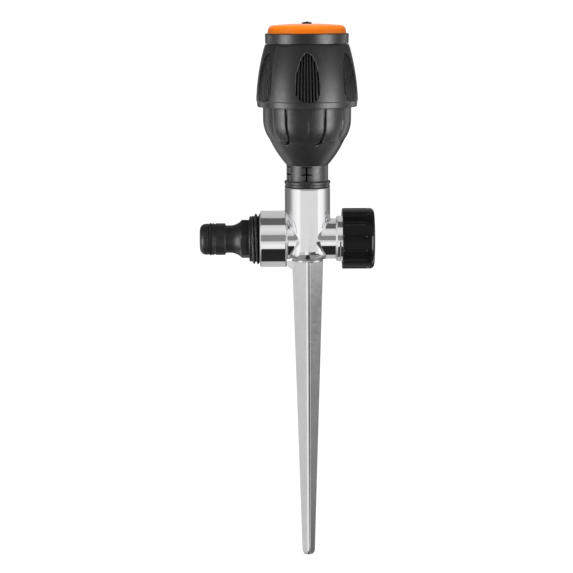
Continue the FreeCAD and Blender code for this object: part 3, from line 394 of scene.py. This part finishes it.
def make_spike():
    """Tapered fins and their blunt point, closed by the flange, the stud and the ear."""
    top, bottom, tip = 2.1, -158.0, -160.9
    top_reach, low_reach = 8.32, 3.45
    top_edge, low_edge = 0.62, 0.48
    top_root, low_root = 1.45, 0.95
    levels = 64
    sections = []
    for index in range(levels + 1):
        share = index / levels
        height = top + (bottom - top) * share
        reach = top_reach + (low_reach - top_reach) * share
        edge = top_edge + (low_edge - top_edge) * share
        root = top_root + (low_root - top_root) * share
        sections.append((height, cross_outline(reach, edge, root)))
    for share in (0.25, 0.5, 0.75, 0.92, 1.0):
        height = bottom + (tip - bottom) * math.sin(0.5 * math.pi * share)
        reach = low_reach * (1 - 0.55 * share ** 1.6)
        edge = low_edge * (1 - 0.35 * share)
        root = low_root * (1 - 0.4 * share)
        sections.append((height, cross_outline(reach, edge, root)))
    rows = len(sections[0][1])
    points = [(x, y, height) for height, outline in sections for x, y in outline]
    faces = []
    for level in range(len(sections) - 1):
        for row in range(rows):
            after = (row + 1) % rows
            here, below = level * rows, (level + 1) * rows
            faces.append([here + row, below + row, below + after, here + after])
    faces.append(list(range(rows)))
    faces.append([len(points) - rows + row for row in reversed(range(rows))])
    fins = make_object("spike_fins", points, faces, 50)
    stud = 2.95
    flange = turned("spike_flange", rounded([
        (0, 1.9), (8.3, 1.9, 0.35), (8.3, 3.0, 0.25), (stud, 3.0, 0.1), (stud, 12.4, 0.5), (0, 12.4),
    ], steps=4), even_angles(96))
    return join([fins, flange, make_ear()])


def make_ear():
    """The lug under the barrel: a thin plate with a sloping lower edge."""
    half = 0.7
    side = rounded([(-7.0, 1.9), (-10.9, 1.9), (-10.9, -0.8, 0.8), (-7.0, -3.6, 0.3)], steps=4)
    count = len(side)
    points = [(x, y, z) for y in (-half, half) for x, z in side]
    faces = [list(range(count)), [count + k for k in reversed(range(count))]]
    for index in range(count):
        after = (index + 1) % count
        faces.append([index, count + index, count + after, after])
    ear = make_object("spike_ear", points, faces)
    soften(ear, 0.25)
    return ear


def soften(piece, width, segments=3):
    """Round the hard edges of a mesh and keep the result."""
    bevel = piece.modifiers.new("soft_edges", "BEVEL")
    bevel.width = width * MM
    bevel.segments = segments
    bevel.limit_method = "ANGLE"
    graph = bpy.context.evaluated_depsgraph_get()
    mesh = bpy.data.meshes.new_from_object(piece.evaluated_get(graph))
    piece.modifiers.clear()
    piece.data = mesh


def join(pieces):
    """Join mesh objects into the first one."""
    with bpy.context.temp_override(active_object=pieces[0], selected_editable_objects=pieces):
        bpy.ops.object.join()
    return pieces[0]


def make_adaptor():
    """Threaded plug, hexagon, waist, and the quick connect's groove, land, O-ring seat and nose."""
    bore, waist, land, seat, nose = 5.2, 7.33, 8.48, 7.1, 8.27
    hex_corner, hex_flat = 10.9, 9.5
    hex_start, hex_end = 15.8, 20.6
    waist_start, nose_start, front = 25.4, 38.9, 42.1
    profile = rounded([
        (bore, 0), (11.5, 0), (THREAD_ROOT, 0.6), (THREAD_ROOT, 15.3), (11.9, hex_start, 0.15),
        (hex_corner, hex_start, 0.3), (hex_corner, hex_end - 0.9, 0.3), (9.35, hex_end, 0.2),
        *arc((9.35, hex_end), (8.1, 22.6), (waist, waist_start), 14),
        (waist, waist_start), (waist, 28.3, 0.3), (land, 28.8, 0.25), (land, 33.6, 0.2),
        (8.12, 33.95, 0.15), (8.12, 34.35, 0.15), (land, 34.7, 0.2), (land, 35.6, 0.25),
        (seat, 35.6, 0.2), (seat, 37.4, 0.2), (nose, 37.4, 0.25), (nose, nose_start),
        *arc((nose, nose_start), (7.42, 41.15), (5.87, front)), (5.87, front), (bore, front, 0.3),
    ])
    profile = spaced(profile, 0.22, -0.1, hex_end + 0.3)

    def shape(angle, radius, along):
        corner = near(angle, math.radians(17.0)) % (TURN / 6) - TURN / 12
        flat = hex_flat / np.cos(corner)
        on_hexagon = (along > hex_start - 0.02) & (along < hex_end + 0.1)
        on_hexagon = on_hexagon & (radius < hex_corner + 0.05)
        radius = np.where(on_hexagon, smooth_min(radius, flat, blend=0.35), radius)
        on_thread = (along > 0) & (along < 15.2) & (radius > THREAD_ROOT - 0.7)
        rise = thread_rise(angle, along, first_turn=1.25, turns=5.6)
        return np.where(on_thread, radius + rise, radius), along

    return turned("adaptor_shell", profile, even_angles(288), shape, to_left)


def make_end_cap():
    """Knob with rounded grip grooves, a raised rim and a gently domed end."""
    bore, outer = 13.62, 16.2
    count, centre_circle, groove_radius = 14, 16.55, 1.0
    first_groove = math.radians(-10.6 + 180)
    profile = rounded([
        (0, 13.4), (bore, 13.4, 0.4), (bore, 0, 0.3), (outer, 0, 0.6), (outer, 14.6),
        *arc((outer, 14.6), (15.41, 16.51), (13.5, 17.1), 10), (13.5, 17.1), (12.9, 16.7, 0.5),
        (12.3, 16.75, 0.5), (6.0, 17.12), (0, 17.3),
    ], steps=5)
    profile = spaced_open(profile, 0.5)

    def shape(angle, radius, along):
        groove = near(count * (angle - first_groove), 0) / count
        across = centre_circle * np.sin(groove)
        depth = np.sqrt(np.maximum(groove_radius ** 2 - across ** 2, 0))
        floor = centre_circle * np.cos(groove) - depth
        floor = np.where(np.abs(across) < groove_radius, floor, outer + 0.4)
        floor = floor + 1.2 * smooth_step(12.1, 14.0, along) + 0.3 * smooth_step(1.2, 0.2, along)
        outside = radius > 15.0
        return np.where(outside, smooth_min(radius, floor, blend=0.14), radius), along

    return turned("end_cap_shell", profile, even_angles(count * 32), shape, to_right)


def spaced_open(points, step):
    """An open outline with no gap over the step."""
    dense = spaced(points, step)
    end = np.argmin(np.hypot(*(dense - points[-1]).T))
    return dense[:end + 1]


def make_collar():
    """Plain ring above the barrel, with the recess that the orange cap turns in."""
    return turned("collar_shell", rounded([
        (16.8, 115.1, 0.3), (18.25, 115.1, 0.3), (18.25, 116.9), (21.85, 116.9, 0.25),
        (22.0, 122.2, 0.45), (20.95, 122.2, 0.3), (20.95, 118.3, 0.3), (16.8, 118.3, 0.3),
    ]), even_angles(192))


def make_turret_cap():
    """Shallow orange dome with a skirt, a rounded shoulder and a hub round the insert."""
    profile = rounded([
        (18.9, 118.8), (20.65, 118.8, 0.2), (20.65, 122.6, 0.8), (20.42, 124.1),
        *arc((20.42, 124.1), (19.45, 125.85), (17.6, 126.5), 12), (17.6, 126.5),
        (12.5, 126.9), (6.5, 127.2, 0.25), (6.5, 125.6, 0.2), (4.3, 125.6), (4.3, 124.3),
        (6.2, 124.3), (6.2, 119.4), (7.6, 119.4), (7.6, 124.6), (18.9, 124.6),
    ])
    return turned("turret_cap_shell", spaced(profile, 0.8, 119, 128), even_angles(240))


def make_nozzle():
    """Flat head on a hollow stem, with three rounded jets that lean outwards."""
    head = turned("nozzle_head", rounded([
        (2.9, 116.0), (4.1, 116.0, 0.2), (4.1, 125.65, 0.1), (6.3, 125.65, 0.15),
        (6.3, 127.0, 0.35), (0.5, 127.1), (0.5, 124.6), (2.9, 124.6),
    ], steps=4), even_angles(96))
    pieces = [head]
    lean = math.radians(12)
    for index, rise in enumerate((1.15, 0.85, 0.85)):
        heading = math.radians(120 * index)
        outline = rounded([
            (0.3, -1.2), (0.95, -1.2), (0.95, rise, 0.6), (0.3, rise, 0.1),
        ], steps=6)

        def on_head(points, heading=heading):
            across, forward, along = points.T
            outward = 1.85 - forward * math.cos(lean) + along * math.sin(lean)
            height = 127.1 + along * math.cos(lean) + forward * math.sin(lean)
            x = across * math.cos(heading) + outward * math.sin(heading)
            y = across * math.sin(heading) - outward * math.cos(heading)
            return np.stack([x, y, height], axis=1)

        pieces.append(turned(f"nozzle_jet_{index + 1}", outline, even_angles(32), lay=on_head))
    return join(pieces)


def make_riser():
    """Plug, double-lipped flange and the grooved spigot under the neck."""
    bore, plug, spigot = 5.4, 10.2, 8.2
    ring_groove, snap_groove = 7.35, 6.7
    foot, flange_top, top = 31.0, 45.05, 57.0
    profile = rounded([
        (bore, foot), (plug, foot), (plug, 42.1), (11.8, 42.1), (11.8, 43.3, 0.15),
        (12.15, 43.6, 0.3), (12.2, flange_top, 0.45), (spigot, flange_top, 0.2),
        (spigot, 47.6), (ring_groove, 47.6), (ring_groove, 49.6), (spigot, 49.6),
        (spigot, 52.0), (snap_groove, 52.0), (snap_groove, 53.8), (spigot, 53.8),
        (spigot, top, 0.3), (bore, top, 0.3),
    ])
    return turned("riser_shell", profile, even_angles(144))


BOWL_OUTER = [
    (11.15, 53.6), *arc((11.15, 53.6), (16.05, 60.1), (19.7, 66.8)), (19.7, 66.8),
    *arc((19.7, 66.8), (22.45, 72.2), (23.3, 77.5)), (23.3, 77.5), (23.3, 96.5),
]


def make_bowl():
    """Bowl with seven ribs: a narrow groove down the right side of each, a sunk panel on its left."""
    profile = rounded([
        (9.95, 53.6), (11.15, 53.6, 0.3), *BOWL_OUTER[1:-1], (23.3, 96.5, 0.3), (20.6, 96.5, 0.3),
        (20.6, 76.5), (17.0, 69.0), (17.0, 66.0), (15.2, 66.0), (9.95, 57.6),
    ])
    profile = spaced(profile, 0.3, 62.0, 84.0)
    outer = np.array(BOWL_OUTER)
    count = 7
    middle = math.radians(12.0)
    crest = math.radians(8.4)
    tip, shoulder = 65.5, 72.5
    groove_depth, panel_depth = 2.0, 0.7

    def shape(angle, radius, height):
        wall = np.interp(height, outer[:, 1], outer[:, 0])
        across = near(count * (angle - middle), 0) / count * wall
        climbed = np.clip((height - tip) / (shoulder - tip), 0, 1)
        half = crest * wall * np.sqrt(1 - (1 - climbed) ** 2)
        below = np.maximum(tip - height, 0)
        right = np.hypot(np.maximum(across - half, 0), below)
        wide = 2.0 + 0.6 * (1 - climbed)
        groove = groove_depth * smooth_step(0, 0.35, right) * smooth_step(wide, 0.75 * wide, right)
        groove = groove * (across > 0) * smooth_step(64.6, 66.6, height)
        around = TURN / count * wall
        left = np.where(across < 0, -across, around - across) - half
        left = np.hypot(np.maximum(left, 0), below)
        room = around - 2 * half - wide
        panel = panel_depth * smooth_step(0, 2.2, left) * np.clip(1 - left / room, 0, 1) ** 2
        panel = panel * smooth_step(65.5, 72.0, height)
        cut = np.maximum(groove, panel) * smooth_step(85.3, 84.6, height)
        outside = (np.abs(radius - wall) < 0.4) & (height > 60)
        return np.where(outside, radius - cut, radius), height

    angles = crowded_angles(count, math.radians(15.0), 130, 24) + middle
    return turned("bowl_shell", profile, angles, shape)


SLEEVE_WALL = [
    (26.8, 87.5), *arc((26.8, 87.5), (25.9, 98.5), (22.4, 115.4), 24), (22.4, 115.4),
]


def make_sleeve():
    """Barrel with a lower band and six oval grips, each with eight upright slots."""
    profile = rounded([
        (20.6, 97.0), (23.9, 97.0), (24.4, 84.15, 0.3), (26.2, 84.15, 0.4), (26.5, 87.1, 0.25),
        (26.8, 87.5, 0.2), *SLEEVE_WALL[1:], (21.9, 116.6, 0.3), (20.6, 116.6, 0.2),
    ])
    profile = spaced(profile, 0.3, 86.0, 113.5)
    wall_line = np.array(SLEEVE_WALL)
    pitch, half = 1.62, 0.52
    grip_half, grip_middle, square = 6.3, 96.0, 2.6

    def grip_top(across):
        return grip_middle + 16.4 * np.sqrt(np.clip(1 - (across / grip_half) ** 2, 0, 1))

    def grip_foot(across):
        share = np.clip(np.abs(across) / grip_half, 0, 1) ** square
        return grip_middle - 8.9 * (1 - share) ** (1 / square)

    def shape(angle, radius, height):
        wall = np.interp(height, wall_line[:, 1], wall_line[:, 0])
        offset = near(6 * angle, 0) / 6
        across = 25.9 * np.sin(offset)
        centre = (np.clip(np.round(across / pitch - 0.5), -4, 3) + 0.5) * pitch
        aside = np.abs(across - centre)
        up = height - (grip_top(centre) - 1.3 * half)
        down = (grip_foot(centre) + half) - height
        beyond = np.hypot(aside, np.maximum(np.maximum(up, down), 0))
        groove = smooth_step(half + 0.06, half - 0.14, beyond)
        edge = np.minimum(grip_top(across) + 0.4 - height, height - grip_foot(across) + 0.3)
        edge = np.minimum(edge, grip_half + 0.35 - np.abs(across))
        scoop = (0.2 + 1.0 * smooth_step(92, 111, height)) * smooth_step(0, 0.5, edge)
        depth = 1.8 + 0.2 * smooth_step(88, 104, height)
        outside = (np.abs(radius - wall) < 0.3) & (height > 86) & (height < 114)
        deep = np.maximum(radius - scoop - depth * groove, 20.9)
        return np.where(outside, deep, radius), height

    angles = crowded_angles(6, 0.27, 190, 16)
    return turned("barrel_shell", profile, angles, shape)


# ---------------------------------------------------------------- materials

class Nodes:
    """A small wrapper for building a node tree."""

    def __init__(self, tree):
        self.tree = tree
        tree.nodes.clear()

    def add(self, kind, **settings):
        node = self.tree.nodes.new(kind)
        for name, value in settings.items():
            setattr(node, name, value)
        return node

    def link(self, source, target):
        self.tree.links.new(source, target)

    def noise(self, where, size, detail=3.0, roughness=0.55):
        """Noise whose blotches are about size millimetres across."""
        node = self.add("ShaderNodeTexNoise")
        node.inputs["Scale"].default_value = 1 / (size * MM)
        node.inputs["Detail"].default_value = detail
        node.inputs["Roughness"].default_value = roughness
        self.link(where, node.inputs["Vector"])
        return node.outputs["Fac"]

    def remap(self, value, low, high, new_low, new_high, smooth=False):
        node = self.add("ShaderNodeMapRange")
        node.interpolation_type = "SMOOTHSTEP" if smooth else "LINEAR"
        limits = {"From Min": low, "From Max": high, "To Min": new_low, "To Max": new_high}
        for name, number in limits.items():
            node.inputs[name].default_value = number
        self.link(value, node.inputs["Value"])
        return node.outputs["Result"]

    def maths(self, operation, first, second=None):
        node = self.add("ShaderNodeMath", operation=operation)
        for index, value in enumerate((first, second)):
            if value is None:
                continue
            if isinstance(value, (int, float)):
                node.inputs[index].default_value = value
            else:
                self.link(value, node.inputs[index])
        return node.outputs["Value"]

    def mix(self, share, first, second):
        node = self.add("ShaderNodeMix", data_type="RGBA")
        self.link(share, node.inputs["Factor"])
        for name, value in (("A", first), ("B", second)):
            socket = next(s for s in node.inputs if s.name == name and s.type == "RGBA")
            if isinstance(value, (tuple, list)):
                socket.default_value = (*value, 1)
            else:
                self.link(value, socket)
        return next(s for s in node.outputs if s.type == "RGBA")


def shade(colour, factor):
    """The colour made lighter or darker, up to full."""
    return tuple(min(1.0, c * factor) for c in colour)


def finish(name, colour, roughness, metallic=0.0, grain=0.25, relief=0.01, spread=0.04,
           variation=0.12, worn=None, wear=0.35, brushed=None, swell=0.0, ior=1.5):
    """A material with grain, broad colour variation, uneven gloss and lighter worn edges.

    In plastic, ambient occlusion lowers the specular level in narrow grooves, which is painted shade
    in the crevices.
    grain is the size of the fine relief and relief its height; swell is the height of the slow
    waviness of a cast or moulded surface; brushed stretches the grain along one axis.
    """
    material = bpy.data.materials.new(name)
    material.use_nodes = True
    nodes = Nodes(material.node_tree)
    output = nodes.add("ShaderNodeOutputMaterial")
    shader = nodes.add("ShaderNodeBsdfPrincipled")
    shader.inputs["Metallic"].default_value = metallic
    shader.inputs["IOR"].default_value = ior
    nodes.link(shader.outputs["BSDF"], output.inputs["Surface"])
    place = nodes.add("ShaderNodeTexCoord").outputs["Object"]
    along = place
    if brushed is not None:
        stretch = nodes.add("ShaderNodeVectorMath", operation="MULTIPLY")
        stretch.inputs[1].default_value = brushed
        nodes.link(place, stretch.inputs[0])
        along = stretch.outputs["Vector"]
    fine = nodes.noise(along, grain, 2.0)
    broad = nodes.noise(place, 9.0, 4.0)
    cloudy = nodes.noise(place, 2.2, 3.0)
    tint = nodes.mix(nodes.remap(broad, 0.3, 0.7, 0, 1), shade(colour, 1 - variation),
                     shade(colour, 1 + variation))
    edge = nodes.add("ShaderNodeNewGeometry").outputs["Pointiness"]
    edge = nodes.remap(edge, 0.515, 0.56, 0, wear, smooth=True)
    edge = nodes.maths("MULTIPLY", edge, nodes.remap(cloudy, 0.35, 0.65, 0.3, 1))
    tint = nodes.mix(edge, tint, worn or shade(colour, 1.6))
    nodes.link(tint, shader.inputs["Base Color"])
    gloss = nodes.maths("ADD", nodes.remap(cloudy, 0.3, 0.7, roughness - spread, roughness + spread),
                        nodes.maths("MULTIPLY", edge, 0.1))
    nodes.link(gloss, shader.inputs["Roughness"])
    if not metallic:
        # Painted shade: ambient occlusion takes the specular sheen out of narrow grooves and
        # crevices.
        painted_shade_occlusion = nodes.add("ShaderNodeAmbientOcclusion", samples=8)
        painted_shade_occlusion.inputs["Distance"].default_value = 2.2 * MM
        painted_crevice_shade = nodes.remap(painted_shade_occlusion.outputs["AO"], 0.35, 0.9, 0.0, 0.5)
        nodes.link(painted_crevice_shade, shader.inputs["Specular IOR Level"])
    bump = nodes.add("ShaderNodeBump")
    bump.inputs["Strength"].default_value = 1.0
    bump.inputs["Distance"].default_value = relief * MM
    nodes.link(fine, bump.inputs["Height"])
    if swell:
        slow = nodes.add("ShaderNodeBump")
        slow.inputs["Strength"].default_value = 1.0
        slow.inputs["Distance"].default_value = swell * MM
        nodes.link(nodes.noise(place, 7.0, 1.0), slow.inputs["Height"])
        nodes.link(slow.outputs["Normal"], bump.inputs["Normal"])
    nodes.link(bump.outputs["Normal"], shader.inputs["Normal"])
    return material


def make_materials():
    """One material for each slot."""
    return {
        "chrome": finish(
            "chrome", (0.90, 0.90, 0.91), 0.06, metallic=1, grain=0.12, relief=0.0003, spread=0.025,
            variation=0.015, worn=(0.95, 0.95, 0.96), wear=0.4, swell=0.005),
        "spike_metal": finish(
            "spike_metal", (0.88, 0.88, 0.89), 0.13, metallic=1, grain=0.15, relief=0.0008,
            spread=0.03, variation=0.03, worn=(0.93, 0.93, 0.93), wear=0.25, brushed=(1, 1, 0.06),
            swell=0.005),
        "black_satin": finish(
            "black_satin", (0.005, 0.005, 0.005), 0.37, grain=0.22, relief=0.008, spread=0.05,
            variation=0.14, worn=(0.02, 0.02, 0.02), wear=0.4, swell=0.008, ior=1.32),
        "black_nylon": finish(
            "black_nylon", (0.004, 0.004, 0.004), 0.42, grain=0.3, relief=0.006, spread=0.06,
            variation=0.15, worn=(0.015, 0.015, 0.015), wear=0.4, swell=0.01, ior=1.3),
        "black_gloss": finish(
            "black_gloss", (0.002, 0.002, 0.002), 0.20, grain=0.3, relief=0.001, spread=0.05,
            variation=0.2, worn=(0.02, 0.02, 0.02), wear=0.3, swell=0.008, ior=1.22),
        "orange": finish(
            "orange", (1.0, 0.21, 0.003), 0.24, grain=0.3, relief=0.002, spread=0.05,
            variation=0.05, worn=(1.0, 0.34, 0.05), wear=0.3, swell=0.008, ior=1.36),
        "rubber": finish(
            "rubber", (0.006, 0.006, 0.006), 0.6, grain=0.2, relief=0.012, spread=0.08,
            variation=0.2, worn=(0.03, 0.03, 0.03), wear=0.3),
        "acetal": finish(
            "acetal", (0.72, 0.71, 0.66), 0.35, grain=0.3, relief=0.004, spread=0.06,
            variation=0.06, worn=(0.8, 0.79, 0.74), wear=0.3, swell=0.006),
        "steel": finish(
            "steel", (0.60, 0.61, 0.62), 0.24, metallic=1, grain=0.08, relief=0.002, spread=0.06,
            variation=0.06, worn=(0.75, 0.75, 0.76), wear=0.5, brushed=(1, 1, 0.1)),
        "brass": finish(
            "brass", (0.72, 0.50, 0.20), 0.26, metallic=1, grain=0.08, relief=0.002, spread=0.06,
            variation=0.08, worn=(0.85, 0.66, 0.34), wear=0.5, brushed=(1, 1, 0.1)),
    }


# ---------------------------------------------------------------- studio

def to_linear(level):
    """A display level from 0 to 255 as linear light."""
    share = level / 255
    return share / 12.92 if share <= 0.04045 else ((share + 0.055) / 1.055) ** 2.4


def ramp(nodes, value, stops):
    """Grey levels by angle in degrees, from -180 to 180, straight between the stops."""
    node = nodes.add("ShaderNodeValToRGB")
    elements = node.color_ramp.elements
    for index, (angle, level) in enumerate(stops):
        place = (angle + 180) / 360
        element = elements[index] if index < 2 else elements.new(place)
        element.position = place
        light = to_linear(level) / 0.9
        element.color = (light, light, light, 1)
    nodes.link(nodes.remap(value, -math.pi, math.pi, 0, 1), node.inputs["Fac"])
    return node.outputs["Color"]


def make_world():
    """White to look at; in reflections, softboxes and flags round the object."""
    world = bpy.data.worlds.new("studio")
    world.use_nodes = True
    bpy.context.scene.world = world
    nodes = Nodes(world.node_tree)
    direction = nodes.add("ShaderNodeTexCoord").outputs["Generated"]
    split = nodes.add("ShaderNodeSeparateXYZ")
    nodes.link(direction, split.inputs["Vector"])
    x, y, z = split.outputs
    towards = nodes.maths("MULTIPLY", y, -1.0)
    over = ramp(nodes, nodes.maths("ARCTAN2", z, towards), [
        (-180, 190), (-101, 185), (-97, 40), (-35, 35), (-33, 235), (-14.5, 238), (-13, 216),
        (-3.5, 216), (-2.5, 135), (22, 130), (24, 200), (45, 222), (64, 205), (66, 95), (100, 90),
        (103, 185), (180, 195),
    ])
    round_about = ramp(nodes, nodes.maths("ARCTAN2", x, towards), [
        (-180, 110), (-150, 100), (-110, 120), (-96, 140), (-75, 225), (-55, 246), (0, 245),
        (60, 250), (85, 235), (96, 190), (115, 130), (150, 100), (180, 110),
    ])
    low_sides = ramp(nodes, nodes.maths("ARCTAN2", x, towards), [
        (-180, 165), (-150, 175), (-60, 198), (-15, 191), (-12, 245), (-5, 245), (-2, 112),
        (5, 122), (12, 128), (17, 75), (60, 62), (100, 60), (180, 60),
    ])
    aside = nodes.maths("ABSOLUTE", x)
    off_panel = nodes.maths("ABSOLUTE", nodes.maths("ADD", x, -0.1))
    beneath = nodes.maths("MULTIPLY", nodes.remap(z, -0.46, -0.52, 0, 1, True),
                          nodes.remap(aside, 0.08, 0.18, 0, 1, True))
    floor_grey = (0.27, 0.27, 0.27)
    over = nodes.mix(beneath, over, floor_grey)
    beside = nodes.remap(off_panel, 0.66, 0.74, 0, 1, True)
    behind = nodes.maths("MULTIPLY", nodes.remap(towards, 0.05, -0.05, 0, 1),
                         nodes.remap(aside, 0.30, 0.42, 0, 1, True))
    colour = nodes.mix(nodes.maths("MAXIMUM", beside, behind), over, round_about)
    low = nodes.maths("MULTIPLY", nodes.remap(z, -0.146, -0.151, 0, 1, True),
                      nodes.remap(z, -0.55, -0.65, 1, 0, True))
    low = nodes.maths("MULTIPLY", low, nodes.remap(aside, 0.05, 0.07, 0, 1, True))
    low = nodes.maths("MULTIPLY", low, nodes.remap(aside, 0.6, 0.7, 1, 0, True))
    colour = nodes.mix(low, colour, low_sides)
    seen = nodes.add("ShaderNodeLightPath").outputs["Is Camera Ray"]
    colour = nodes.mix(seen, colour, (1, 1, 1))
    background = nodes.add("ShaderNodeBackground")
    nodes.link(colour, background.inputs["Color"])
    output = nodes.add("ShaderNodeOutputWorld")
    nodes.link(background.outputs["Background"], output.inputs["Surface"])


def make_light(name, place, aim, width, height, power, lit=None, glossy=True):
    """A soft panel; with lit given, only those pieces receive its light."""
    data = bpy.data.lights.new(name, "AREA")
    data.shape = "RECTANGLE"
    data.size, data.size_y = width, height
    data.energy = power
    light = bpy.data.objects.new(name, data)
    bpy.context.scene.collection.objects.link(light)
    light.location = place
    light.rotation_euler = (Vector(place) - Vector(aim)).to_track_quat("Z", "Y").to_euler()
    light.visible_glossy = glossy
    if lit is not None:
        receivers = bpy.data.collections.new(name + "_receivers")
        for piece in lit:
            receivers.objects.link(piece)
        light.light_linking.receiver_collection = receivers


def make_lights(plastic):
    """Tall side strips and faint rear rims for the black plastic, and a soft panel overhead."""
    head = (0, 0, 0.08)
    strip, rim = -0.27, -0.94
    make_light("left_strip", (-1.15, -0.61, strip), (0, 0, strip),
               width=0.66, height=1.04, power=40, lit=plastic)
    make_light("right_strip", (1.02, -0.80, strip), (0, 0, strip),
               width=0.84, height=1.04, power=55, lit=plastic)
    make_light("left_rim", (-1.07, 0.74, rim), (0, 0, rim),
               width=0.55, height=2.2, power=9, lit=plastic)
    make_light("right_rim", (1.07, 0.74, rim), (0, 0, rim),
               width=0.55, height=2.2, power=10, lit=plastic)
    make_light("top_panel", (0, -0.25, 1.3), head, width=1.0, height=1.0, power=17, glossy=False)


def make_floor():
    """A plain pale floor just under the spike."""
    level = CAD_BOX[0][2] - 0.0002
    reach = 40.0
    corners = [(-reach, -reach, level), (reach, -reach, level),
               (reach, reach, level), (-reach, reach, level)]
    mesh = bpy.data.meshes.new("floor")
    mesh.from_pydata(corners, [], [[0, 1, 2, 3]])
    floor = bpy.data.objects.new("floor", mesh)
    bpy.context.scene.collection.objects.link(floor)
    material = bpy.data.materials.new("pale_floor")
    material.use_nodes = True
    nodes = Nodes(material.node_tree)
    glow = nodes.add("ShaderNodeEmission")
    glow.inputs["Color"].default_value = (1, 1, 1, 1)
    glow.inputs["Strength"].default_value = 1.0
    matte = nodes.add("ShaderNodeBsdfDiffuse")
    matte.inputs["Color"].default_value = (0.12, 0.12, 0.12, 1)
    both = nodes.add("ShaderNodeAddShader")
    nodes.link(glow.outputs["Emission"], both.inputs[0])
    nodes.link(matte.outputs["BSDF"], both.inputs[1])
    output = nodes.add("ShaderNodeOutputMaterial")
    nodes.link(both.outputs["Shader"], output.inputs["Surface"])
    mesh.materials.append(material)
    floor.visible_glossy = False
    floor.visible_diffuse = False
    floor.visible_shadow = False


def make_camera():
    """In front, level with the top of the head and looking a little down."""
    data = bpy.data.cameras.new("camera")
    data.lens = 106.8
    data.sensor_width = 36.0
    camera = bpy.data.objects.new("camera", data)
    bpy.context.scene.collection.objects.link(camera)
    camera.location = (-0.0114, -0.899, 0.1343)
    down, roll = math.radians(9.238), math.radians(-0.33)
    level = Euler((math.radians(90) - down, 0, 0)).to_matrix()
    camera.rotation_euler = (level @ Euler((0, 0, roll)).to_matrix()).to_euler()
    bpy.context.scene.camera = camera
    bpy.context.scene.view_settings.view_transform = "Standard"


# ---------------------------------------------------------------- assembly

NEW_PIECES = [
    (make_casting, "base", "base_casting", "chrome"),
    (make_spike, "base", "ground_spike", "spike_metal"),
    (make_adaptor, "base", "hose_adaptor", "black_nylon"),
    (make_riser, "base", "riser_nipple", "black_nylon"),
    (make_bowl, "base", "lower_bowl", "black_satin"),
    (make_collar, "base", "collar_ring", "black_satin"),
    (make_sleeve, "barrel", "barrel_sleeve", "black_satin"),
    (make_turret_cap, "turret", "turret_cap", "orange"),
    (make_nozzle, "turret", "nozzle_insert", "black_gloss"),
    (make_end_cap, "cap", "end_cap", "black_gloss"),
]


METALS = {"chrome", "spike_metal", "steel", "brass"}


def build():
    """Make the pieces, give every object its material and return the black plastic ones.

    The plastic is flagged off from the polished metal, so only metal shows in reflections.
    """
    materials = make_materials()
    plastic = []
    for make, body, node, slot in NEW_PIECES:
        piece = make()
        piece.data.materials.clear()
        piece.data.materials.append(materials[slot])
        piece.visible_glossy = slot in METALS
        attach(piece, body)
        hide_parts(node)
        if slot.startswith("black"):
            plastic.append(piece)
    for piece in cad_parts.values():
        slot = piece.data.materials[0].name.split(".")[0]
        piece.data.materials.clear()
        piece.data.materials.append(materials[slot])
        piece.visible_glossy = slot in METALS
        if slot.startswith("black"):
            plastic.append(piece)
    return plastic


plastic_pieces = build()
make_world()
make_lights(plastic_pieces)
make_floor()
make_camera()
